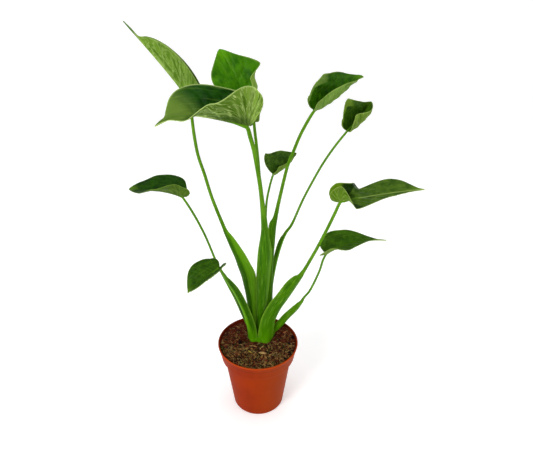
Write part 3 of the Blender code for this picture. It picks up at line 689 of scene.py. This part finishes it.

# %% [markdown]
# The stalks are planned as routes through points up from the crown, with the width at each. Six sheaths
# end in a shoulder on one side, and five have painted light on one side and painted shade on the other.

# %% Stalk tables
NONE = (1, 200, 0)     # a shoulder, or a side of painted light and shade, of no size

# For each stalk: the way that its back faces, and its sheath's thickness; its shoulder's side (1 right,
# -1 left), height and step out; the side that is painted lighter (the other is painted in shade), from where
# over the half width, and how much; and its route, as x, y, height and width
STALKS = {
    "a": (242, 4, (1, 277, .7), (1, .2, 1), """
    -7.6 18.7 112.3 9.5, -8.8 17.8 143 11.5, -10.8 17 176 16.5, -13 17 195 20, -15.6 17 213 24,
    -20.6 17.5 228 22.5, -25.6 18 243 19.5, -33.8 19 261.5 14.6, -40.9 20 278 8.7, -45.3 20.5 290 5.6,
    -57.7 22 328 4.4, -65.5 24 359 4.2, -72.2 26 383 4.1, -75.6 28 408 4, -77.2 29.5 432 3.8"""),
    "b": (271, 4.6, NONE, (1, .6, .4), """
    2.4 16.6 112.3 8, 3.6 14.2 138 10.5, 5.8 11 175 15, 8.2 8 219 18.5, 9.9 5 246 19.4, 10.5 3 262 17.6,
    10.3 -1 290 10, 9.4 -5 316 6.5, 7 -9 338.5 5.4, 4.8 -13 360 5.2, 2.1 -18 381 5, -1.5 -25 406 4.9,
    -5 -31 422 4.9"""),
    "c": (90, 4, NONE, NONE, """
    1.5 24 112.3 8, 3.8 24 166 8, 6.2 22 218 7, 8 19 268 5.5, 7 15 307 4.2, 4.3 12 350 4, 2.2 10 383 3.8,
    0.5 8 403 3.7, -1.2 6 420 3.6"""),
    "d": (285, 4, (-1, 297, 1), NONE, """
    11 18.3 112.3 8, 15.4 18 152 8, 16.8 18 187 8.5, 17.8 19 220 8.5, 19.2 20 252 8.5, 20.4 21 279 10,
    21.6 21.3 290 9.6, 24.8 22 303 6.2, 29 23 324.5 4.8, 38.4 25 368 4.1, 46 26 389 4, 53.3 27 408 3.9,
    62 29 425 3.8"""),
    "e": (-40, 3.7, (-1, 269, 1.1), (1, .15, 1), """
    14.5 25 112.3 7.5, 18.4 26 146 7.5, 18.6 27.5 186 8.5, 23.6 29 222 9.5, 30.6 31 252 10, 38 32 271.5 7,
    47 33 285 3.7, 60.2 36 318 3.1, 72.7 39 344 3, 85 42 367 3, 99 46 388 3"""),
    "f": (90, 3.8, NONE, NONE, """
    5 31 112.3 8, 8 32.5 177 7, 9.7 36 234.5 5, 11 40 275 3.4, 12.4 46 308.5 3.1, 16.3 53 329 3"""),
    "g": (280, 4.6, (-1, 224, 2.2), (1, .5, .25), """
    11.4 5 112.3 21, 15.4 5.6 140 20, 23 6 161 19, 33 3.5 180.5 17.5, 46.3 0 205.5 14.8, 56.3 -2.5 222 9,
    62.8 -4.5 235 5, 69.4 -6.5 251 4.4, 77 -8.5 269.5 4.1, 87.7 -13 299.5 4, 95.2 -17 323 3.9"""),
    "h": (285, 4.2, (-1, 173, 1), NONE, """
    21.5 17.5 112.3 8, 32.6 16 128 11, 41.8 13.8 143 11, 52.9 11.2 158.5 9, 61.2 9 172 5.5,
    65.3 8 181.5 3.4, 73.6 6 196.5 3.1, 83.5 3 227 3, 87.4 1 246.5 3"""),
    "i": (165, 3.7, NONE, NONE, """
    -12.5 27 112.3 7.5, -20 27 131.5 7.5, -31 23 166.5 6, -41.5 20 194.5 4.4, -55.4 15 234 3.2, -66 9 274 3,
    -74.4 5 300 3, -83 2 321.5 3"""),
    "j": (245, 4.2, (1, 240, .9), (-1, 0, 1.2), """
    -8.4 6.5 112.3 13.5, -10.9 5.5 132.5 13.5, -17.8 0 166 12, -28.2 -13 205.5 11.6, -36.8 -24 230.5 9,
    -41.6 -36 248.5 4.2"""),
}
print("stalks:", len(STALKS))

# %% [markdown]
# ## From the flat leaf to the folded one
#
# These functions turn a place on the flat leaf into a place in the air. `raised` is the heart of it: it
# walks out from the midrib along an arc that starts at the fold angle and turns by the curl. The lobes
# behind the stalk are part of a cone, because a flat sheet can only close round a point as one.

# %% Leaf shape
def read_off(places, stations, rows):
    """The rows of a table, read off at places between its stations."""
    return np.stack([np.interp(places, stations, column) for column in rows.T], -1)


def smooth_curve(points, count):
    """Points evenly along a smooth curve through the given ones, with the width where they have one."""
    points = np.array(points, float)
    ends = np.vstack([2 * points[0] - points[1], points, 2 * points[-1] - points[-2]])
    t = np.linspace(0, 1, 20, endpoint=False)[:, None]
    fine = np.vstack([0.5 * (2 * b + (c - a) * t + (2 * a - 5 * b + 4 * c - d) * t ** 2
                             + (3 * b - a - 3 * c + d) * t ** 3)
                      for a, b, c, d in zip(ends, ends[1:], ends[2:], ends[3:])] + [points[-1:]])
    walked = np.r_[0, np.cumsum(np.linalg.norm(np.diff(fine[:, :3], axis=0), axis=1))]
    return read_off(np.linspace(0, 1, count) * walked[-1], walked, fine)


def midrib(leaf, places):
    """At shares of the midrib: its point from the stalk, and its axes ahead, left and up."""
    share = np.linspace(0, 1, 101)
    near_far, roll = np.clip([2 * share, 2 * share - 1], 0, 1), radians(leaf["roll"])
    rise = np.radians(leaf["pitch"] + np.dot(leaf["bend"], near_far))
    turn = np.radians(leaf["heading"] + np.dot(leaf["sweep"], near_far))
    ahead = np.stack([np.cos(turn) * np.cos(rise), np.sin(turn) * np.cos(rise), np.sin(rise)], -1)
    level = np.stack([-np.sin(turn), np.cos(turn), 0 * turn], -1)
    upright = np.cross(ahead, level)
    steps = 0.5 * (ahead[1:] + ahead[:-1]) * leaf["length"] / 100
    spine = np.vstack([np.zeros(3), np.cumsum(steps, axis=0)])
    left, up = level * cos(roll) + upright * sin(roll), upright * cos(roll) - level * sin(roll)
    return [read_off(places, share, rows) for rows in (spine, ahead, left, up)]


def margin(leaf, side):
    """A half's outline, from the tip round its lobe to the notch, as (ahead, aside) of the stalk."""
    angle, reach = np.radians(LOBE[:, 0] * side["notch"]), LOBE[:, 1] * side["shoulder"] * side["width"]
    lobe = np.stack([-reach * np.sin(angle), reach * np.cos(angle)], -1)
    return smooth_curve([*side["edge"] * (leaf["length"], side["width"]), *lobe], MARGIN_POINTS)


def raised(leaf, side, sign, u, v):
    """Places u ahead and v aside of the stalk raised into the leaf's folded, curled and bent form."""
    behind = u < 0
    reach = np.where(behind, np.hypot(u, v), v)
    share = np.maximum(u, 0) / leaf["length"]
    # The fold and the curl turn smoothly from each of their values into the next between two knots
    steps = [smooth(start, end, share) for start, end in zip(side["knots"], side["knots"][1:])]
    fold, curl = (np.radians(w[0] + np.dot(np.diff(w), steps)) for w in (side["fold"], side["curl"]))
    straight = side["level"] * side["width"]
    turn = curl / (side["width"] - straight)
    turn = np.where(np.abs(turn) < 1e-6, 1e-6, turn)
    first, rest = np.minimum(reach, straight), np.maximum(reach - straight, 0)
    out = first * np.cos(fold) + (np.sin(fold + turn * rest) - np.sin(fold)) / turn
    lift = first * np.sin(fold) + (np.cos(fold) - np.cos(fold + turn * rest)) / turn
    spine, ahead, left, up = midrib(leaf, share)
    offset = sign * left * out[:, None] + up * lift[:, None]
    cup, level = radians(side["cup"]), unit(offset)
    axis = level * cos(cup) + unit(np.cross(ahead, level) * sign) * sin(cup)
    swing = (np.where(behind, np.arctan2(-u, np.maximum(v, 1e-9)), 0) / sin(cup))[:, None]
    ray = axis * cos(cup) + (level - axis * cos(cup)) * np.cos(swing) - ahead * sin(cup) * np.sin(swing)
    lobe = np.linalg.norm(offset, axis=1, keepdims=True) * ray
    return leaf["at"] + np.where(behind[:, None], lobe, spine + offset)


# %% [markdown]
# ## The veins
#
# The side veins leave the midrib at a wide angle and bend forward before the margin, and the lowest fan
# out into the lobes. They are drawn on the flat leaf as short curves, and every point of the mesh takes
# its distance from the nearest. That number raises the vein on the underside, sinks it on the top, and
# later colours it.

# %% Vein lines
VEIN_STARTS, VEIN_LOBES = (0.72, 0.56, 0.42, 0.29, 0.18, 0.09, 0.03), (0.7, 0.8, 0.9)
VEIN_STEPS = 90


def vein_lines(leaf, side, wander):
    """The side veins of one half, each as points (ahead, aside) with a waver of its own."""
    edge, t = margin(leaf, side), np.linspace(0, 1, VEIN_STEPS)[:, None]
    forward, lines = edge[: np.argmax(edge[:, 0] < 1)], []
    for start in VEIN_STARTS:
        root = start * leaf["length"]
        goal = (start + 0.16 + 0.1 * (1 - start)) * leaf["length"]
        end = forward[np.argmin(np.abs(forward[:, 0] - goal))]
        lines.append(((root, 0), (root + 0.3 * (end[0] - root), 0.62 * end[1]), end))
    for share in VEIN_LOBES:
        end = edge[int(share * (MARGIN_POINTS - 1))]
        lines.append(((0, 0), end * (0.62, 0.5), end))
    for root, elbow, end in np.array(lines):
        ahead, aside = end - root
        waver = np.sin(t * wander.uniform(5, 9) + wander.uniform(0, tau)) * np.sin(pi * t)
        yield (root * (1 - t) ** 2 + elbow * 2 * t * (1 - t) + end * t * t
               + unit(np.array((aside, -ahead))) * waver * wander.uniform(0.3, 0.9))


def vein_height(leaf, side, u, v, wander):
    """For each point, how high a vein stands there from 0 to 1, and the distance to the nearest."""
    here = np.stack([u, v], -1).astype(np.float32)
    height, nearest = np.zeros(len(here)), np.full(len(here), 99)
    for line in vein_lines(leaf, side, wander):
        gaps = np.linalg.norm(here[:, None] - line.astype(np.float32), axis=2)
        gap, run_out = gaps.min(1), gaps.argmin(1) / VEIN_STEPS
        height = np.maximum(height, np.exp(-(gap / (1.05 - 0.65 * run_out)) ** 2) * (1 - 0.45 * run_out))
        nearest = np.minimum(nearest, gap)
    return height, nearest


# %% [markdown]
# ## The blades
#
# Each blade is one closed skin: a grid of points for the top, another for the underside, and a rolled rim
# between them. The underside carries the midrib and the veins as ridges, and between the veins the blade
# swells a little, which makes a leaf's light lively. The points keep where on the flat leaf they are, and
# how near a vein or the margin.

# %% Blade mesh
BLADE_ROWS, BLADE_COLUMNS, RIM_ROLL = 150, 46, 0.16


def blade_surface(leaf, wander, puff):
    """The top and bottom grids of a blade in mm, and what their points keep."""
    lines = np.linspace(0, 1, BLADE_COLUMNS + 1) ** 1.25
    grid = np.meshgrid(np.r_[-lines[:0:-1], lines], np.linspace(0, 1, BLADE_ROWS))
    across, rows = np.reshape(grid, (2, -1))
    rib_share = np.clip(1 - rows / FAN_START, 0, 1)
    swell = np.clip(np.minimum(rib_share * 8 + 0.6, (1 - rib_share) * 6 + 0.6), 0, 1)
    root_share = rib_share ** ROOT_CROWD
    down = -midrib(leaf, root_share)[3]
    top, under, kept = np.zeros((len(rows), 3)), np.zeros((len(rows), 3)), {}
    for name, sign, mine in (("left", 1, across > 0), ("right", -1, across <= 0)):
        side, a = leaf[name], np.abs(across[mine])
        form = partial(raised, leaf, side, sign)
        edge = read_off(rows[mine], np.linspace(0, 1, MARGIN_POINTS), margin(leaf, side))
        u = leaf["length"] * root_share[mine] * (1 - a) + edge[:, 0] * a
        v = edge[:, 1] * a
        near = np.maximum(v - PROBE, 0.001)
        away = sign * unit(np.cross(form(u, near + 2 * PROBE) - form(u, near),
                                    form(u + PROBE, v + 0.001) - form(u - PROBE, v + 0.001)))
        # Near the midrib the two halves' directions turn into one, straight down, so the rib is round
        from_rib, from_stalk = smooth(0, 2.2, v)[:, None], np.hypot(u, v)
        away = unit(away * from_rib + down[mine] * (1 - from_rib))
        thick = BLADE_THICKNESS * np.clip(from_stalk / THIN_REACH, 0.5, 1) * (1 - 0.35 * smooth(0.93, 1, a))
        height, nearest = vein_height(leaf, side, u, v, wander)
        open_field = smooth(0, 6, from_stalk) * smooth(1, 0.93, a) * smooth(0, 3, v)
        ripple = 0.22 * np.sin(0.42 * u + 2.1 * np.sin(0.11 * v + wander.uniform(0, 6)) + 0.5 * v)
        lift = (puff * (smooth(0.3, 3.2, nearest) - 0.5) + ripple) * open_field
        ridge, rib = height * open_field, np.exp(-(v / 1.15) ** 2) * swell[mine]
        top[mine] = form(u, v) - away * (lift - 0.2 * ridge - 0.25 * rib)[:, None]
        deep = thick - lift + 0.38 * ridge + (RIB_THICKNESS - BLADE_THICKNESS) * rib
        under[mine] = form(u, v) + away * deep[:, None]
        marks = {"vein": height * smooth(0, 1.5, v), "rib": np.exp(-(v / 0.8) ** 2), "row": rows[mine],
                 "right": 0 * a + (sign < 0), "across": a, "rim": smooth(0.9, 1, a),
                 "flat": np.stack([u, v * sign, 0 * u], -1) * MM}
        for key, numbers in marks.items():
            kept.setdefault(key, np.zeros((len(rows), *numbers.shape[1:])))[mine] = numbers
    return top, under, kept


def blade_object(name, leaf, wander, puff):
    """The closed skin of a blade: top, underside and the rolled rim between them."""
    top, under, kept = blade_surface(leaf, wander, puff)
    columns, count = 2 * BLADE_COLUMNS + 1, len(top)
    grid = np.arange(count).reshape(BLADE_ROWS, columns)
    # The margin runs down the left side of the grid, and the notch's edges along its last row
    border = np.r_[grid[:, 0], grid[-1, 1:-1], grid[::-1, -1]]
    inner = np.r_[grid[:, 2], np.maximum(grid[-1, 1:-1] - 2 * columns, 0), grid[::-1, -3]]
    roll = 0.5 * (top[border] + under[border]) + unit(top[border] - top[inner]) * RIM_ROLL
    middle = 2 * count + np.arange(len(border))
    faces = np.array(quads(BLADE_ROWS, columns, closed=False))
    faces = [*faces, *faces[:, ::-1] + count]
    for a, b in ((border, middle), (middle, border + count)):
        faces += [*np.stack([a[:-1], a[1:], b[1:], b[:-1]], -1)]
    values = {key: np.concatenate([v, v, v[border]]) for key, v in kept.items()}
    values["under"] = np.repeat((0, 1, 0.5), (count, count, len(border)))
    return new_mesh(name, [*top, *under, *roll], faces, values, sharp=75)


# %% [markdown]
# ## The blades' finish
#
# The top of a leaf is a deep green with a soft gloss; the underside is matt and almost yellow-green, with
# silvery veins. Each blade has tints of its own, and marks where its light changes, some on one blade only:
# a painted sheen on the top towards the tip, a bright half, a dark tip, painted shade on the top near the
# stalk, and painted shade on the underside over its far half and along its keel. The finest veins and
# wrinkles are too small for the mesh, so the shader draws them over the flat leaf's own coordinates, where
# they can't stretch.

# %% Blade finish
def leaf_finish(name, tints, tip_reach=0.14, wrinkled=0.45, pale_from=2, pale_left=0, dark_from=2,
                far_olive=0, lobe_band=2, rib_pale=0, keel=0, dark_tip=0):
    """A blade's material. A mark that starts at 2, past the end of the blade, is left out."""
    deep, fresh, tip, olive, pale, silver = colours(tints)

    def paint(wire):
        flat = wire.kept("flat", "Vector")
        vein, under, row, rim, rib, right, across = map(
            wire.kept, ("vein", "under", "row", "rim", "rib", "right", "across"))
        cloud, grain = flat.speckle(70, 4, 0.6), flat.speckle(900, 4, 0.65)
        cells = wire.make("TexVoronoi", {"feature": "DISTANCE_TO_EDGE"}, {"Vector": flat, "Scale": 330})
        net, streak = 1 - cells.between(0.02, 0.16), flat.stretched(0.35, 1, 1).speckle(260, 4, 0.6)
        turn = wire.sum("ARCTAN2", flat.axis("Y"), flat.axis("X"))
        fan = wire.make("CombineXYZ", None, {"X": turn * 10, "Y": flat.length() * 34})
        waves = fan.speckle(1, 3, 0.6, 0.9)
        wrinkle = wire.sum("ABSOLUTE", waves - 0.5).between(0.045, 0)
        lines = flat.stretched(0.05, 1, 1).speckle(420, 3, 0.5).between(0.56, 0.68)
        top = (cloud * 0.6 + streak * 0.4).between(0.36, 0.64).mix(deep, fresh).coated(
            # Painted sheen: the top turns to the lighter tip tint towards the tip.
            (row.between(tip_reach, tip_reach * 0.8 - 0.1), tip),
            (vein * 0.25 + net * 0.04 + rib * 0.5, fresh), (lines * 0.22, pale),
            # Painted shade: the top near-black from this row towards the stalk.
            (row.between(dark_from, dark_from + 0.03) * 0.9, rgb(14, 44, 0)),
            (row.between(pale_from, pale_from + 0.05) * (right + pale_left), pale),
            (across.between(lobe_band, lobe_band + 0.06) * row.between(0.4, 0.5) * (1 - right), pale),
            (rib * rib_pale * row.between(0.8, 0.6), silver))
        field = waves * wrinkled + cloud * (0.9 - wrinkled) + streak * 0.1
        back = field.between(0.36, 0.64).mix(olive, pale).coated(
            # Painted shade: the underside's half towards the tip darkened to olive.
            (row.between(0.76, 0.5) * far_olive, olive),
            (wrinkle * wrinkled + vein * 0.3 + rib * 0.4, silver),
            # Painted shade: a dark band on the underside beside the midrib, along the keel.
            (across.between(0.34, 0.12) * row.between(0.3, 0.45) * keel, rgb(42, 70, 10)))
        colour = under.between(0.3, 0.7).mix(top, back).coated(
            (rim ** 6 * 0.75, silver), (row.between(0.17, 0.09) * dark_tip, rgb(60, 94, 30)),
            (grain.between(0.62, 0.8) * 0.1, pale))
        return {"Base Color": colour, "Roughness": 0.4 + under * 0.14 + cloud * 0.08,
                "Bump": (net * 0.25 + grain * 0.35 + streak * 0.3 + wrinkle * under * 0.6, 0.0003)}
    return new_finish(name, paint, Specular_IOR_Level=0.06)


LOOKS = {   # how much it swells; top dark and fresh, painted tip sheen, underside dark and pale, veins; its marks
    "a": (0.6, "38 78 2, 62 106 8, 86 122 28, 66 100 14, 104 138 42, 156 182 98", {"dark_tip": 0.85}),
    "b": (0.9, "8 48 0, 26 72 2, 92 120 42, 66 98 8, 124 158 56, 182 206 120",
          {"tip_reach": 0.36, "wrinkled": 0.65, "far_olive": 0.9, "keel": 0.75}),
    "c": (0.5, "36 88 0, 66 124 0, 84 144 4, 84 120 26, 116 148 56, 146 170 84", {"pale_from": 0.52}),
    "d": (0.45, "24 68 0, 54 104 2, 84 130 14, 70 108 24, 106 140 58, 146 170 84", {"lobe_band": 0.66}),
    "e": (0.45, "34 68 2, 60 98 14, 86 122 28, 70 100 12, 102 134 36, 146 170 84", {"lobe_band": 0.7}),
    "f": (0.45, "28 60 2, 74 108 30, 66 98 24, 74 106 12, 100 134 30, 146 170 84", {}),
    "g": (0.45, "38 70 4, 76 106 26, 86 122 28, 66 100 6, 94 130 18, 146 170 84",
          {"pale_from": 0.72, "pale_left": 1, "dark_from": 0.575, "rib_pale": 0.8}),
    "h": (0.45, "32 68 0, 60 98 8, 86 122 28, 70 100 12, 102 134 36, 146 170 84", {}),
    "i": (0.45, "12 46 0, 32 70 2, 86 122 28, 46 76 8, 76 106 22, 110 138 52", {}),
    "j": (0.45, "26 60 0, 54 92 6, 86 122 28, 70 100 12, 102 134 36, 146 170 84", {}),
}
for letter, (puff, tints, marks) in LOOKS.items():
    blade = blade_object("leaf_" + letter, LEAVES[letter], np.random.default_rng(ord(letter)), puff)
    finish_piece(blade, leaf_finish("leaf_skin_" + letter, tints, **marks), "blade", "blade_" + letter)

# %% [markdown]
# ## The stalks
#
# At its foot a stalk is a sheath: a wide channel with thin edges that holds the next younger stalk. Higher
# up the channel narrows and closes, an edge may end in a small shoulder, and a round stalk goes on to the
# blade. Each is a loft through rings of one kind, pressed in on the inner side where they are wide. Below,
# it runs into the soil; above, it runs on under the blade and sinks into the midrib.

# %% Stalk mesh
STALK_RINGS, STALK_SIDES, CUP_DEPTH = 120, 28, 0.45
LAP, GROOVE = 1.8, 0.62       # how much wider a low sheath is than its solid, and how deep its channel


def stalk_foot(low):
    """Points that carry a sheath on down into the soil: drawn in sideways, swollen to front and back."""
    return [(*(CROWN_PLACE + (low[:2] - CROWN_PLACE) * (narrow, swell)), height, low[3] * narrow)
            for height, narrow, swell in ((95, 0.72, 1.05), (101, 0.84, 1.16), (107, 0.94, 1.14))]


def under_blade(leaf, width):
    """Points that carry a stalk on under the blade's midrib, thinner and thinner."""
    places, size, depth = np.array([(0, .92, .35), (.05, .74, .3), (.12, .56, .25), (.22, .4, .25)]).T
    spine, _, _, up = midrib(leaf, places)
    return np.c_[leaf["at"] + spine - up * (width * size * depth)[:, None], width * size]


def stalk_object(name, leaf, facing, sheath, shoulder, flap, route):
    """The loft of a stalk, from under the soil to under its blade."""
    route = table(route)
    line = smooth_curve([*stalk_foot(route[0]), *route, *under_blade(leaf, route[-1, 3])], STALK_RINGS)
    height, width = line[:, 2:3], line[:, 3:]
    along = unit(np.gradient(line[:, :3], axis=0))
    outward = np.array((cos(radians(facing)), sin(radians(facing)), 0))
    back = unit(outward - along * (along @ outward)[:, None])
    side = np.cross(along, back)
    x, y, _ = ring(1, 0, STALK_SIDES).T
    inner, thick = np.clip(-y, 0, 1), np.minimum(width, sheath)
    wide = smooth(1.05, 2.2, width / thick)
    hand, end, step = shoulder
    out = step * smooth(end + 1, end - 3, height) * smooth(end - 36, end - 3, height)
    width = width + LAP * wide * smooth(240, 190, height) + out
    bend = CUP_DEPTH * (1 - thick / width) * width / 2
    # The inner half is pressed towards the back, and the edges are drawn out thin
    depth = y * thick / 2 + inner * thick * GROOVE * wide + bend * (0.8 - 2 * x * x)
    depth = depth + wide * thick * 0.22 * np.abs(x) ** 6 * np.sign(-y + 0.3)
    shift = side[:, None] * (x * width / 2)[..., None] + back[:, None] * depth[..., None]
    way, place, strength = flap
    reach = way * shift[..., 0] / np.abs(shift[..., 0]).max(1, keepdims=True)
    # Painted light and shade on the sheath: towards 1 on the lit side, towards -1 on the shaded one.
    lighter = (2 * smooth(place - 0.08, place + 0.08, reach) - 1) * wide * smooth(112, 140, height)
    lane = np.stack([x * width / 2 * MM, y * thick * MM, 0 * x + np.arange(STALK_RINGS)[:, None] * 0.004], -1)
    values = {"lane": lane, "inner": inner * wide, "flap": lighter * strength, "wing": np.abs(x) ** 10 * wide,
              "wide": wide + 0 * x}
    points = (line[:, :3] + side * hand * out / 2)[:, None] + shift
    return new_mesh(name, points, capped(STALK_RINGS, STALK_SIDES), values, sharp=80)


# %% [markdown]
# ## The stalks' finish
#
# Sheaths and stalks are a fresh, slightly waxy green, with fine ribs and paler lines that run their whole
# length. The thin edges of a sheath look pale, the hollow inside is painted darker, in shade, and five
# sheaths have painted light on one side and painted shade on the other. At the soil the green is at its
# brightest.

# %% Stalk finish
def paint_stalk(wire):
    lane, wide, flap = wire.kept("lane", "Vector"), wire.kept("wide"), wire.kept("flap")
    ribs = lane.stretched(1, 1, 0.02).speckle(1500, 3, 0.6)
    cloud = lane.stretched(1, 1, 0.12).speckle(160, 4, 0.6)
    thin = (ribs * 0.5 + cloud * 0.5).between(0.35, 0.65).mix(rgb(68, 114, 8), rgb(100, 148, 30))
    green = (ribs * 0.45 + cloud * 0.55).between(0.35, 0.65).mix(rgb(44, 92, 0), rgb(74, 124, 2)).coated(
        ((1 - wide) * 0.75, thin), (wire.place().axis("Z").between(0.155, 0.1) * 0.8, rgb(80, 142, 0)),
        # Painted light on one side of a sheath, and painted shade on the other.
        (flap * 0.8, rgb(92, 148, 14)), (flap * -0.7, rgb(34, 78, 0)),
        # Painted shade in the hollow inside a sheath.
        (wire.kept("inner") * 0.45, rgb(30, 74, 0)),
        (ribs.between(0.57, 0.68) * wide * 0.5, rgb(120, 164, 54)),
        (wire.kept("wing") * 0.7, rgb(132, 178, 50)))
    return {"Base Color": green, "Roughness": 0.38 + cloud * 0.18,
            "Bump": (ribs * 0.7 + cloud * 0.3, 0.00035)}


stalk_finish = new_finish("waxy_stalk", paint_stalk, Specular_IOR_Level=0.04)
for letter, plan in STALKS.items():
    stalk = stalk_object("petiole_" + letter, LEAVES[letter], *plan)
    finish_piece(stalk, stalk_finish, "stalk", "stalk_" + letter)

# %% [markdown]
# ## The crown
#
# Between the sheaths, at the level of the soil, is the short stem that they all grow from. Only a little
# of it shows. It is turned like the solid and pressed flat from front to back, a little smaller, so that
# the sheaths' feet stand out from it, with a shallow furrow where two sheaths meet.

# %% Crown
CROWN_SHRINK, CROWN_SIDES, CROWN_FLAT, ROUND_FROM, ROUND_HEIGHT = 0.99, 96, 18 / 21, 108.5, 3.6
CROWN_PROFILE = table("8 84.5, 12.5 88.5, 15.5 94, 17.6 100, 18.8 105.5, 21.2 110.8, 20.8 112")
levels = np.r_[84.5, np.linspace(84.5, 109.5, 22), 110.6, 111.4, 111.9, 112][:, None]
radius = np.interp(levels, *CROWN_PROFILE.T[::-1]) * CROWN_SHRINK
radius *= np.sqrt(1 - (np.clip(levels - ROUND_FROM, 0, ROUND_HEIGHT) / ROUND_HEIGHT) ** 2)
radius[[0, -1]] = 0
around = tau * np.arange(CROWN_SIDES) / CROWN_SIDES
furrow = 1 + 0.025 * np.sin(7 * around + 1) + 0.018 * np.sin(11 * around + 0.4)
stem = (ring(radius * furrow, levels, CROWN_SIDES) * (1, CROWN_FLAT, 1)).reshape(-1, 3)
everywhere = np.ones(len(stem))
# The crown takes a little of the painted hollow shade all over, and no painted light or shade on a side.
crown = new_mesh("crown_stem", stem + (*CROWN_PLACE, 0), quads(len(levels), CROWN_SIDES), {
    "lane": np.stack([np.arctan2(stem[:, 1], stem[:, 0]) * 0.02, 0 * everywhere, stem[:, 2] * MM], -1),
    "inner": everywhere * 0.3, "wing": everywhere * 0, "wide": everywhere, "flap": everywhere * 0})
finish_piece(crown, stalk_finish, "crown", "crown")

# %% [markdown] ## The end The size of the box round the finished pieces is printed, with their triangles.

# %% Sizes and finish
shown_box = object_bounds()
print("visual box in mm:", [round(1000 * (b - a), 1) for a, b in zip(*shown_box)],
      "triangles:", sum(triangles(p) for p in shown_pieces() if p.type == "MESH"))
